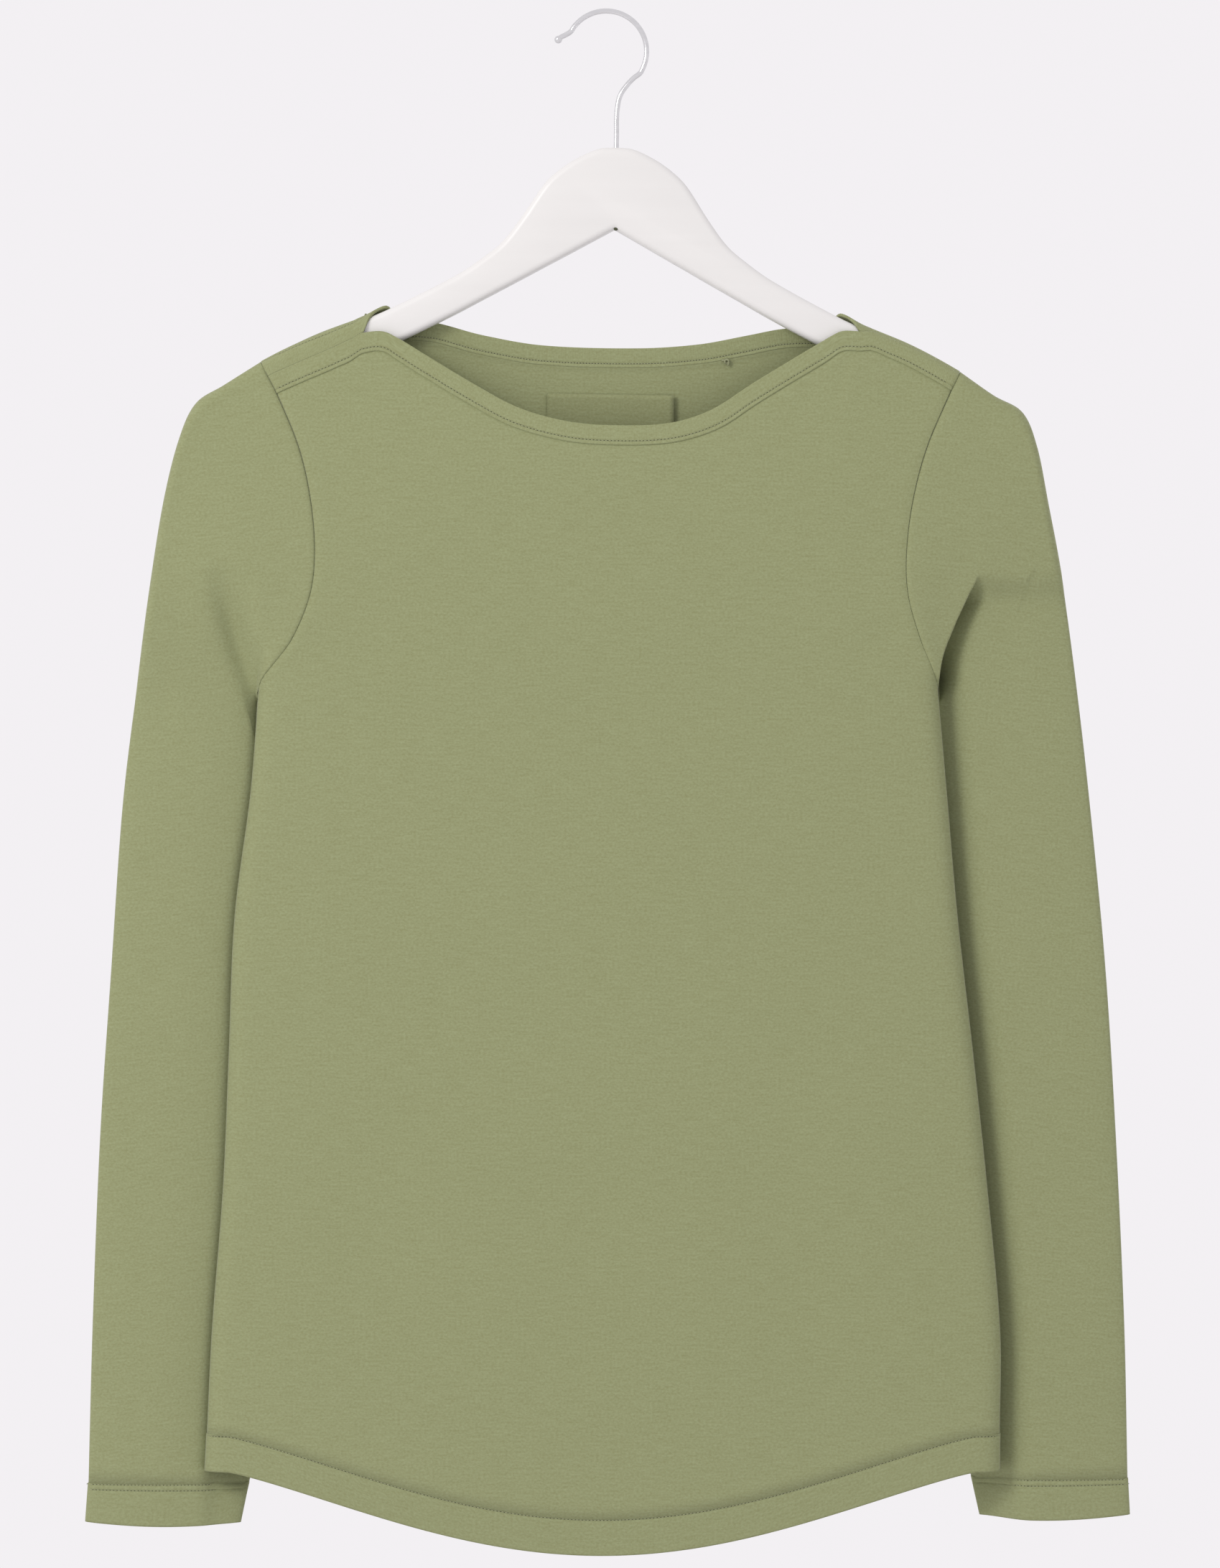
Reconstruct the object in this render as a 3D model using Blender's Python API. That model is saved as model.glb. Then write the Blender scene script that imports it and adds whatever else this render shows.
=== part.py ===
"""A long-sleeved boat-neck t-shirt hung on a flat wooden hanger with a wire hook.

Sizes are in millimetres here and become metres when a mesh is made. X runs to the
right of someone who faces the shirt, its front faces -Y, and the origin is the inner
crown of the hook, where a rail or peg carries the hanger.
"""

import math

import bmesh
import bpy

for old in list(bpy.data.objects):
    bpy.data.objects.remove(old, do_unlink=True)

MM = 0.001

# Cloth
CLOTH_THICKNESS = 1.0
DOUBLED_THICKNESS = 1.6
SEAM_GAP = 0.3
ARMHOLE_GAP = 0.6
SIDE_GAP = 0.5
BINDING_WIDTH = 10.5
BINDING_SLOPE_STEP = 2.5
BINDING_STEEPEST = 1.1
HEM_DEPTH = 20.0
ARCH_RADIUS = 7.0
SIDE_FOLD = 9.0
HALF_WIDTH = 190.0
FULLNESS = {"front": 13.5, "back": 12.5}
FULLNESS_RUN = 150.0
ROUNDNESS = 2.5

# Hanger, in its own upright frame from the foot of the stem
HANGER_FOOT = (5.0, -71.8)
HANGER_TILT = math.radians(1.0)
HANGER_THICKNESS = 10.0
HANGER_EDGE = 3.5
HANGER_EDGE_STEPS = 2
HANGER_LIFT = 2.0
RIDGE_FIRST_OUT = 119.0
RIDGE_END_OUT = 16.0
RIDGE_END_DROP = 24.0
HANGER_ROWS = (  # out from the stem, top edge, bottom edge
    (0.0, 0.0, -44.0),
    (9.0, -0.8, -49.0),
    (21.0, -6.2, -55.7),
    (30.0, -12.3, -60.7),
    (38.0, -20.0, -65.1),
    (50.0, -38.0, -71.8),
    (60.0, -51.3, -77.3),
    (70.0, -59.8, -82.8),
    (84.0, -69.5, -90.5),
    (119.0, -88.0, -108.4),
    (134.0, -94.6, -115.4),
    (160.0, -105.0, -127.0),
    (186.0, -118.6, -139.0),
    (205.0, -131.0, -148.0),
    (217.0, -138.5, -151.5),
    (220.0, -142.0, -149.5),
)

# Hook
WIRE_RADIUS = 1.4
HOOK_RADIUS = 21.6
HOOK_CENTRE = (-0.3, -20.2)
HOOK_START = math.radians(-32.0)
HOOK_END = math.radians(150.0)
HOOK_STEM = ((5.0, -84.0), (5.2, -66.0), (5.8, -49.5), (7.4, -43.4), (10.6, -38.6), (14.4, -34.5))
HOOK_TIP = ((-22.0, -11.4), (-24.4, -12.6))
BALL_CENTRE = (-25.9, -13.9)
BALL_RADIUS = 2.1
STEM_HOLE_RADIUS = 1.9
STEM_HOLE_DEPTH = 14.0
STEM_HOLE_SIDES = 16
CROWN_STEPS = 20
BALL_RING_ANGLES = (-50, -20, 10, 40, 68)

# Edge of the body: the armhole seams, then the sides below the underarms
EDGE_COLUMNS = ("z", "left", "right")
ARMHOLE_ROWS = (
    (-180.0, -187.5, 193.5),
    (-190.0, -183.0, 189.5),
    (-203.0, -176.3, 183.4),
    (-233.0, -164.0, 170.6),
    (-262.0, -157.6, 163.0),
    (-290.0, -155.6, 159.7),
    (-312.0, -158.3, 160.7),
    (-335.0, -167.8, 167.2),
    (-348.0, -177.5, 172.6),
    (-354.0, -182.4, 175.2),
    (-359.0, -185.0, 176.7),
    (-364.0, -185.8, 177.1),
)
SIDE_ROWS = (
    (-364.0, -186.1, 177.2),
    (-415.0, -190.0, 181.4),
    (-483.0, -198.7, 187.3),
    (-556.0, -201.8, 195.6),
    (-626.0, -204.8, 203.0),
    (-704.0, -210.8, 210.0),
    (-759.0, -213.5, 209.8),
    (-800.0, -215.6, 209.5),
)
UNDERARM_Z = -364.0
ARMHOLE_SHARE = {"front": 1.0, "back": 0.8}
ARMHOLE_CHORD = {"left": -186.0, "right": 182.0}
ARMHOLE_EASE_LOW = 40.0
ARMHOLE_EASE_TOP = 30.0

# Where the cloth turns to the back above the underarms, along the sleeves' outside
TURN_TOP_X = 226.0
TURN_TOP_Z = -210.0
TURN_LEAN = 0.17
TURN_RUN = 62.0

# Cloth length from the ridge of the shoulders down to the garment's top edge
TOP_COLUMNS = ("x", "below")
FRONT_TOP_ROWS = (
    (-190.0, 13.0),
    (-155.0, 15.0),
    (-136.0, 13.5),
    (-130.0, 12.6),
    (-111.0, 21.9),
    (-98.3, 29.7),
    (-71.8, 45.8),
    (-47.6, 58.7),
    (-21.1, 66.0),
    (5.4, 67.8),
    (34.2, 65.8),
    (56.1, 58.1),
    (78.3, 43.1),
    (113.3, 20.6),
    (124.0, 14.0),
    (131.5, 10.0),
    (135.0, 8.2),
    (139.0, 6.0),
    (143.0, 4.5),
    (192.0, 4.5),
)
BACK_TOP_ROWS = (
    (-190.0, -13.0),
    (-155.0, -15.0),
    (-136.0, -13.5),
    (-130.0, -12.6),
    (-124.0, -8.0),
    (-118.5, 0.0),
    (-115.0, 6.5),
    (-111.5, 11.0),
    (-102.0, 11.4),
    (-90.6, 12.6),
    (-67.0, 18.9),
    (-34.0, 24.3),
    (16.5, 25.1),
    (49.5, 22.2),
    (75.0, 16.8),
    (93.7, 12.6),
    (108.0, 11.4),
    (118.5, 11.0),
    (122.5, 6.5),
    (126.5, 0.0),
    (131.0, -6.0),
    (135.0, -8.2),
    (139.0, -6.0),
    (143.0, -4.5),
    (192.0, -4.5),
)

# Curved hem
HEM_LEFT = -215.0
HEM_RIGHT = 209.5
HEM_CORNER_Z = -779.0
HEM_DROP = {"front": 44.0, "back": 41.0}
HEM_FLAT_SHARE = 0.03
HEM_POWER = 1.2

# Sleeves: outer and inner edges of each section, shoulder to cuff
SLEEVE_COLUMNS = ("outer_x", "outer_z", "inner_x", "inner_z")
SLEEVE_ROWS = {
    "left": (
        (-184.0, -186.0, -187.6, -364.0),
        (-204.0, -198.6, -190.2, -373.0),
        (-219.5, -208.8, -188.6, -388.0),
        (-228.5, -228.0, -183.0, -412.0),
        (-236.5, -260.0, -170.5, -444.0),
        (-243.5, -303.0, -160.0, -480.0),
        (-251.0, -358.0, -154.0, -520.0),
        (-259.0, -424.0, -154.0, -562.0),
        (-265.0, -510.0, -161.0, -616.0),
        (-271.0, -600.0, -171.0, -672.0),
        (-275.0, -700.0, -183.5, -738.0),
        (-277.3, -787.4, -192.6, -787.6),
    ),
    "right": (
        (188.5, -191.8, 178.8, -364.0),
        (206.5, -204.4, 181.4, -373.0),
        (222.0, -213.6, 180.0, -388.0),
        (229.8, -232.0, 174.5, -412.0),
        (235.8, -262.0, 163.0, -444.0),
        (243.5, -303.0, 154.0, -480.0),
        (251.0, -358.0, 149.5, -520.0),
        (258.5, -424.0, 151.0, -562.0),
        (266.7, -510.0, 161.0, -616.0),
        (272.3, -600.0, 173.0, -672.0),
        (276.8, -700.0, 187.0, -738.0),
        (278.6, -784.8, 196.6, -785.2),
    ),
}
CUFF_END = {
    "left": (-278.8, -807.2, -197.0, -807.9),
    "right": (279.6, -803.3, 201.2, -804.9),
}
CUFF_SAG = 2.0
SLEEVE_HALF_DEPTH = 5.0
SLEEVE_OUT_Y = 1.0
SLEEVE_BEHIND_Y = 13.8
SLEEVE_TUCK = 24.0
SLEEVE_TUCK_START = 18.0
SLEEVE_SPREAD = 0.05
BOW_FADE = 0.22
BOW_FADE_NARROWING = 0.1
RING_FADE = 0.1
SEAM_FADE = 0.07
FALL_START_Z = -240.0
FALL_RUN = 150.0
FALL_WIDTH = 40.0
UNDER_START_Z = -358.0
UNDER_RUN = 20.0
UNDERARM_CLEARANCE = 1.4
CLEARANCE_START_Z = -318.0
CLEARANCE_RUN = 24.0
FOLD_START_Z = -285.0
FOLD_RUN = 45.0
FOLD_COLUMNS = ("z", "left", "right")
FOLD_ROWS = (
    (-285.0, -206.0, 199.0),
    (-304.0, -203.0, 196.0),
    (-330.0, -197.0, 187.0),
    (-345.0, -192.5, 181.5),
    (-356.0, -188.8, 179.0),
    (-364.0, -186.1, 177.2),
)
FOLD_WIDTH = {"left": 22.0, "right": 10.0}

# Blank patch inside the back neck
PATCH_LEFT = -32.0
PATCH_RIGHT = 36.0
PATCH_TOP_BELOW = 50.0
PATCH_HEIGHT = 28.0
PATCH_STANDOFF = 1.4
PATCH_LIFT = 1.6
PATCH_LIFT_START = 0.7

# Mesh density
SHARP_ANGLE = math.radians(40)
FIT_ROUNDS = 30
FOLD_SHARES = (0.0, 0.5, 1.0)
PATCH_ROWS = 2
PATCH_COLUMNS = 6
ARCH_OFFSETS = {"front": (0.0, 10.0), "back": (0.0, 3.0, 6.0, 10.0, 14.5)}
HALF_SHARES = (
    0.0, 0.002, 0.01, 0.035, 0.08, 0.12, 0.136, 0.15, 0.16, 0.169, 0.177, 0.185, 0.193,
    0.204, 0.23, 0.265, 0.31, 0.355, 0.4, 0.45, 0.5,
)
RING_SHARES = (0.0, 0.016, 0.034, 0.065, 0.15, 0.27, 0.41, 0.55, 0.69, 0.81, 0.9, 0.965, 1.0)
STRIP_SHARES = (0.0, 0.08, 0.27, 0.46, 0.65, 0.84, 1.0)
ARMHOLE_FIRST_SHARE = {"front": 0.2, "back": 0.1}
SIDE_STEPS = 6
SLEEVE_SHARES = (
    0.0, 0.012, 0.026, 0.042, 0.06, 0.08, 0.103, 0.13, 0.162, 0.2, 0.245, 0.295, 0.35,
    0.41, 0.47, 0.535, 0.6, 0.67, 0.745, 0.825, 0.91, 1.0,
)
WIRE_SIDES = 8

SAGE = (0.322, 0.342, 0.188, 1.0)
PALE_SAGE = (0.335, 0.356, 0.198, 1.0)
WHITE = (0.86, 0.85, 0.835, 1.0)
CHROME = (0.72, 0.72, 0.73, 1.0)


def smooth_through(knots, values):
    """A smooth curve through the points, flat beyond both ends."""
    last = len(knots) - 1
    slopes = []
    for i in range(last + 1):
        low, high = max(i - 1, 0), min(i + 1, last)
        slopes.append((values[high] - values[low]) / (knots[high] - knots[low]))

    def value_at(knot):
        if knot <= knots[0]:
            return values[0]
        if knot >= knots[last]:
            return values[last]
        i = max(k for k in range(last) if knots[k] <= knot)
        run = knots[i + 1] - knots[i]
        t = (knot - knots[i]) / run
        rise = values[i + 1] - values[i]
        start, end = slopes[i] * run, slopes[i + 1] * run
        return values[i] + t * start + t * t * (3 * rise - 2 * start - end) + t**3 * (start + end - 2 * rise)

    return value_at


def column(rows, columns, name):
    return [row[columns.index(name)] for row in rows]


def table_curve(rows, columns, across, name):
    """The smooth curve of one named column against another."""
    pairs = sorted(zip(column(rows, columns, across), column(rows, columns, name)))
    return smooth_through([pair[0] for pair in pairs], [pair[1] for pair in pairs])


def smooth_step(t):
    t = min(max(t, 0.0), 1.0)
    return t * t * (3 - 2 * t)


def mix(a, b, share):
    return a + (b - a) * share


def spread(count, start, end):
    return [mix(start, end, i / count) for i in range(count + 1)]


def neck_spread():
    """Shares across the body, closer at the sides and at the two corners of the neck."""
    return list(HALF_SHARES) + [1 - share for share in reversed(HALF_SHARES[:-1])]


def hanger_to_world(out, up):
    """A point of the hanger's own frame, after the hanger tips down to the right."""
    x = HANGER_FOOT[0] + out * math.cos(HANGER_TILT) + up * math.sin(HANGER_TILT)
    z = HANGER_FOOT[1] - out * math.sin(HANGER_TILT) + up * math.cos(HANGER_TILT)
    return x, z


def ridge_curve():
    """Height of the cloth's ridge: over each arm of the hanger, and level across the neck."""
    tops = [(out, up + HANGER_LIFT) for out, up, _ in HANGER_ROWS if out >= RIDGE_FIRST_OUT]
    left = [hanger_to_world(-out, up) for out, up in reversed(tops)]
    right = [hanger_to_world(out, up) for out, up in tops]
    points = [(left[0][0] - RIDGE_END_OUT, left[0][1] - RIDGE_END_DROP)] + left + right
    points.append((right[-1][0] + RIDGE_END_OUT, right[-1][1] - RIDGE_END_DROP))
    return smooth_through([point[0] for point in points], [point[1] for point in points])


ridge_z = ridge_curve()
front_top = table_curve(FRONT_TOP_ROWS, TOP_COLUMNS, "x", "below")
back_top = table_curve(BACK_TOP_ROWS, TOP_COLUMNS, "x", "below")
armhole_x = {side: table_curve(ARMHOLE_ROWS, EDGE_COLUMNS, "z", side) for side in ("left", "right")}
side_x = {side: table_curve(SIDE_ROWS, EDGE_COLUMNS, "z", side) for side in ("left", "right")}
fold_x = {side: table_curve(FOLD_ROWS, FOLD_COLUMNS, "z", side) for side in ("left", "right")}
outward = {"left": -1, "right": 1}


def seam_x(side, z, face):
    """Edge of a body panel: the armhole seam, then the side seam."""
    if z < UNDERARM_Z:
        return side_x[side](z)
    chord = ARMHOLE_CHORD[side]
    low = smooth_step((z - UNDERARM_Z) / ARMHOLE_EASE_LOW)
    high = smooth_step((ridge_z(chord) - z) / ARMHOLE_EASE_TOP)
    return mix(armhole_x[side](z), chord, (1 - ARMHOLE_SHARE[face]) * low * high)


def turning_line_x(side, z):
    """Where the cloth turns from front to back: the sleeve's outside, then the body's side."""
    if z < UNDERARM_Z:
        return side_x[side](z)
    outer = outward[side] * (TURN_TOP_X + TURN_LEAN * (TURN_TOP_Z - z))
    return mix(side_x[side](UNDERARM_Z), outer, smooth_step((z - UNDERARM_Z) / TURN_RUN))


def fullness(x, z, face):
    """How far the cloth's middle stands from the hanger's plane, well below the ridge."""
    drop = ridge_z(x) - z
    inset = min(x - turning_line_x("left", z), turning_line_x("right", z) - x)
    inset = max(inset, 0.0)
    turned = 1 - min(inset / SIDE_FOLD, 1.0)
    fold = math.sqrt(max(1 - turned * turned, 0.0))
    across = 1 - min(inset / HALF_WIDTH, 1.0)
    lens = (1 - across**ROUNDNESS) ** (1 / ROUNDNESS)
    slack = 1 - (1 - min(max(drop - ARCH_RADIUS, 0.0) / FULLNESS_RUN, 1.0)) ** 2
    return ARCH_RADIUS * fold, (FULLNESS[face] - ARCH_RADIUS) * slack * lens


def cloth_point(x, below, face):
    """The point of the cloth's middle that lies `below` mm of cloth under the ridge."""
    if below < 0:
        below = -below
        face = "back" if face == "front" else "front"
    sign = -1 if face == "front" else 1
    quarter = ARCH_RADIUS * math.pi / 2
    if below < quarter:
        turn = below / ARCH_RADIUS
        arch, z = math.sin(turn), ridge_z(x) - ARCH_RADIUS * (1 - math.cos(turn))
    else:
        arch, z = 1.0, ridge_z(x) - ARCH_RADIUS - (below - quarter)
    fold, growth = fullness(x, z, face)
    return x, sign * (fold * arch + growth), z


def below_at(x, z):
    """Cloth length under the ridge at a height that lies under the arch."""
    return ridge_z(x) - z + ARCH_RADIUS * (math.pi / 2 - 1)


def hem_z(x, face):
    share = (x - HEM_LEFT) / (HEM_RIGHT - HEM_LEFT)
    share = (share - HEM_FLAT_SHARE) / (1 - 2 * HEM_FLAT_SHARE)
    swing = math.sin(math.pi * min(max(share, 0.0), 1.0))
    return HEM_CORNER_Z - HEM_DROP[face] * swing**HEM_POWER


def top_below(x, face):
    """Where a face's top edge runs; along the shoulder seams both faces share one line."""
    return front_top(x) if face == "front" else max(back_top(x), -front_top(x))


def strip_below(x, face):
    """Cloth length of the binding at this column, measured straight down."""
    step = BINDING_SLOPE_STEP
    here = ridge_z(x) - top_below(x, face)
    before = ridge_z(x - step) - top_below(x - step, face)
    after = ridge_z(x + step) - top_below(x + step, face)
    slope = max(abs(here - before), abs(after - here)) / step
    return BINDING_WIDTH * math.sqrt(1 + min(slope, BINDING_STEEPEST) ** 2)


def body_edge(side, below_of, face):
    """The (x, z) where a line across the body meets the armhole or side seam."""
    x = ARMHOLE_CHORD[side]
    for _ in range(FIT_ROUNDS):
        z = cloth_point(x, below_of(x), face)[2]
        x = seam_x(side, z, face)
    return x, z


def add_mesh(name, bm, material):
    mesh = bpy.data.meshes.new(name)
    bm.to_mesh(mesh)
    bm.free()
    mesh.shade_smooth()
    mesh.set_sharp_from_angle(angle=SHARP_ANGLE)
    mesh.materials.append(material)
    obj = bpy.data.objects.new(name, mesh)
    bpy.context.scene.collection.objects.link(obj)
    return obj


def new_material(name, color, roughness, metallic=0.0):
    material = bpy.data.materials.new(name)
    material.use_nodes = True
    shader = material.node_tree.nodes["Principled BSDF"]
    shader.inputs["Base Color"].default_value = color
    shader.inputs["Roughness"].default_value = roughness
    shader.inputs["Metallic"].default_value = metallic
    return material


def cloth_wall(name, rows, thickness, material, tube=False):
    """A closed wall of cloth whose middle runs through the rows of points."""
    bm = bmesh.new()
    across, down = len(rows[0]), len(rows)
    bmesh.ops.create_grid(bm, x_segments=across - 1, y_segments=down - 1, size=1.0)
    bm.verts.ensure_lookup_table()
    ordered = sorted(bm.verts, key=lambda v: (round(-v.co.y, 4), round(v.co.x, 4)))
    flat = [point for row in rows for point in row]
    for vert, point in zip(ordered, flat):
        vert.co = [value * MM for value in point]
    if tube:
        bmesh.ops.remove_doubles(bm, verts=bm.verts, dist=1e-7)
    bmesh.ops.recalc_face_normals(bm, faces=bm.faces)
    obj = add_mesh(name, bm, material)
    solidify = obj.modifiers.new("Thickness", "SOLIDIFY")
    solidify.thickness = thickness * MM
    solidify.offset = 0.0
    solidify.use_even_offset = not tube
    return obj


def panel_rows(face):
    """Rows of points of a body panel, from its binding to its hem fold."""
    def top(x):
        return top_below(x, face) + strip_below(x, face) + SEAM_GAP

    def bottom(x):
        return below_at(x, hem_z(x, face) + HEM_DEPTH + SEAM_GAP)

    rows = []
    for offset in ARCH_OFFSETS[face]:
        def line(x, offset=offset):
            return top(x) + offset

        corner = {side: body_edge(side, line, face) for side in outward}
        left, right = corner["left"][0] + ARMHOLE_GAP / 2, corner["right"][0] - ARMHOLE_GAP / 2
        row = [mix(left, right, across) for across in neck_spread()]
        rows.append([cloth_point(x, line(x), face) for x in row])

    foot = {side: body_edge(side, bottom, face) for side in outward}
    armhole = [share for share in RING_SHARES if ARMHOLE_FIRST_SHARE[face] < share < 1]
    heights = [("armhole", share) for share in armhole]
    heights += [("side", step / SIDE_STEPS) for step in range(SIDE_STEPS + 1)]
    for part, share in heights:
        ends = {}
        for side in outward:
            if part == "armhole":
                x, _, z = armhole_point(side, share, face)
            else:
                z = mix(UNDERARM_Z, foot[side][1], share)
                x = side_x[side](z)
            ends[side] = (x, (below_at(x, z) - top(x)) / (bottom(x) - top(x)))
        row = []
        for across in neck_spread():
            x = mix(ends["left"][0] + ARMHOLE_GAP / 2, ends["right"][0] - ARMHOLE_GAP / 2, across)
            v = mix(ends["left"][1], ends["right"][1], across)
            row.append(cloth_point(x, mix(top(x), bottom(x), v), face))
        rows.append(row)
    return part_at_sides(rows, face)


def part_at_sides(rows, face):
    """Front and back stop half a seam gap short of each other at the side seams."""
    shift = -SIDE_GAP / 2 if face == "front" else SIDE_GAP / 2
    return [[(x, y + shift, z) for x, y, z in row] for row in rows]


def binding_rows(face):
    """Rows of points of the folded strip along the garment's top edge."""
    rows = []
    for share in STRIP_SHARES:
        def line(x, share=share):
            inner = SEAM_GAP / 2
            return top_below(x, face) + inner + share * (strip_below(x, face) - inner)

        left = body_edge("left", line, face)[0] + ARMHOLE_GAP / 2
        right = body_edge("right", line, face)[0] - ARMHOLE_GAP / 2
        columns = [mix(left, right, across) for across in neck_spread()]
        rows.append([cloth_point(x, line(x), face) for x in columns])
    return rows


def hem_rows(face):
    rows = []
    for share in FOLD_SHARES:
        row = []
        for across in neck_spread():
            height = HEM_DEPTH * (1 - share)
            left, right = side_x["left"](HEM_CORNER_Z + height), side_x["right"](HEM_CORNER_Z + height)
            x = mix(left, right, across)
            row.append(cloth_point(x, below_at(x, hem_z(x, face) + height), face))
        rows.append(row)
    return part_at_sides(rows, face)


def armhole_point(side, share, face):
    """A point of the armhole seam, from the shoulder's ridge at 0 to the underarm at 1."""
    x = ARMHOLE_CHORD[side]
    for _ in range(FIT_ROUNDS):
        z = cloth_point(x, share * below_at(x, UNDERARM_Z), face)[2]
        x = seam_x(side, z, face)
    return cloth_point(x, share * below_at(x, UNDERARM_Z), face)


def armhole_ring(side, across, face):
    """A point on the sleeve's edge where it meets the body, just outside the seam."""
    x, y, z = armhole_point(side, across, face)
    clear = ARMHOLE_GAP / 2 + UNDERARM_CLEARANCE * smooth_step((CLEARANCE_START_Z - z) / CLEARANCE_RUN)
    return x + outward[side] * clear, y if across < 1 else 0.0, z


def sleeve_lines(side):
    count = len(SLEEVE_ROWS[side]) - 1
    shares = [i / count for i in range(count + 1)]
    return {
        name: smooth_through(shares, column(SLEEVE_ROWS[side], SLEEVE_COLUMNS, name))
        for name in SLEEVE_COLUMNS
    }


def hanging_y(side, x, z, face, swell):
    """Depth of a sleeve that hangs free: it passes behind the body's side."""
    line = fold_x[side](z) if z > UNDERARM_Z else side_x[side](z)
    inside = (line - x) * outward[side]
    tuck = smooth_step((inside + SLEEVE_TUCK_START) / SLEEVE_TUCK)
    base = mix(SLEEVE_OUT_Y, SLEEVE_BEHIND_Y, tuck) + SLEEVE_SPREAD * max(inside, 0.0)
    way = -1 if face == "front" else 1
    return base + SLEEVE_HALF_DEPTH * (1 + way * swell)


def over_arch(below):
    """Share of the arch's depth that the cloth has at a distance below the ridge."""
    short = 1 - min(below / ARCH_RADIUS, 1.0)
    return math.sqrt(1 - short * short)


def tube_swell(across):
    """Share of a flat tube's half depth between its outer edge at 0 and inner edge at 1."""
    return (2 * math.sqrt(across * (1 - across))) ** (2 / ROUNDNESS)


def sleeve_point(side, lines, share, across, face):
    way = -1 if face == "front" else 1
    swell = tube_swell(across)
    outer = (lines["outer_x"](share), lines["outer_z"](share))
    inner = (lines["inner_x"](share), lines["inner_z"](share))
    top = (lines["outer_x"](0), lines["outer_z"](0))
    underarm = (lines["inner_x"](0), lines["inner_z"](0))
    ring = armhole_ring(side, across, face)
    kept = 1 - smooth_step(share / (BOW_FADE - BOW_FADE_NARROWING * across))
    x = mix(outer[0], inner[0], across) + kept * (ring[0] - mix(top[0], underarm[0], across))
    z = mix(outer[1], inner[1], across) + kept * (ring[2] - mix(top[1], underarm[1], across))

    growth = fullness(x, z, face)[1]
    width = math.dist(outer, inner)
    arch = over_arch(across * width) * over_arch((1 - across) * width)
    cap = way * (ARCH_RADIUS * arch + growth * swell)
    ring_growth = fullness(ring[0], ring[2], face)[1]
    ring_width = math.dist(top, underarm)
    ring_arch = over_arch(across * ring_width) * over_arch((1 - across) * ring_width)
    ring_cap = way * (ARCH_RADIUS * ring_arch + ring_growth * swell)
    cap += (1 - smooth_step(share / RING_FADE)) * (ring[1] - ring_cap)

    from_seam = (x - seam_x(side, z, face)) * outward[side]
    falling = smooth_step((FALL_START_Z - z) / FALL_RUN) * smooth_step(from_seam / FALL_WIDTH)
    past_fold = (x - fold_x[side](z)) * outward[side]
    folded = smooth_step(past_fold / FOLD_WIDTH[side]) * smooth_step((FOLD_START_Z - z) / FOLD_RUN)
    under = smooth_step((UNDER_START_Z - z) / UNDER_RUN)
    hangs = (1 - (1 - falling) * (1 - folded) * (1 - under)) * smooth_step(share / SEAM_FADE)
    return x, mix(cap, hanging_y(side, x, z, face, swell), hangs), z


def ring_places():
    """Places round a sleeve: down its front, then up its back to the start."""
    front = [(across, "front") for across in RING_SHARES]
    back = [(across, "back") for across in reversed(RING_SHARES[:-1])]
    return front + back


def sleeve_rows(side):
    lines = sleeve_lines(side)
    return [
        [sleeve_point(side, lines, share, across, face) for across, face in ring_places()]
        for share in SLEEVE_SHARES
    ]


def cuff_rows(side):
    lines = sleeve_lines(side)
    seam = [lines[name](1.0) for name in SLEEVE_COLUMNS]
    rows = []
    for share in FOLD_SHARES:
        section = [mix(a, b, share) for a, b in zip(seam, CUFF_END[side])]
        row = []
        for across, face in ring_places():
            x = mix(section[0], section[2], across)
            z = mix(section[1], section[3], across)
            z -= CUFF_SAG * share * math.sin(math.pi * across) + (1 - share) * SEAM_GAP
            row.append((x, hanging_y(side, x, z, face, tube_swell(across)), z))
        rows.append(row)
    return rows


def patch_rows():
    """The blank patch lies on the back's inner face, its right edge lifting a little."""
    rows = []
    for down in spread(PATCH_ROWS, 0.0, PATCH_HEIGHT):
        row = []
        for across in spread(PATCH_COLUMNS, 0.0, 1.0):
            x = mix(PATCH_LEFT, PATCH_RIGHT, across)
            _, y, z = cloth_point(x, PATCH_TOP_BELOW + down, "back")
            lift = PATCH_LIFT * smooth_step((across - PATCH_LIFT_START) / (1 - PATCH_LIFT_START))
            row.append((x, y - PATCH_STANDOFF - lift, z))
        rows.append(row)
    return rows


def hanger_outline():
    """The hanger's outline in the world: along the top from left to right, then back below."""
    top = [(out, up) for out, up, _ in HANGER_ROWS]
    low = [(out, down) for out, _, down in HANGER_ROWS]
    outline = [(-out, up) for out, up in reversed(top)] + top[1:]
    outline += list(reversed(low)) + [(-out, down) for out, down in low[1:]]
    return [hanger_to_world(out, up) for out, up in outline]


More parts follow.
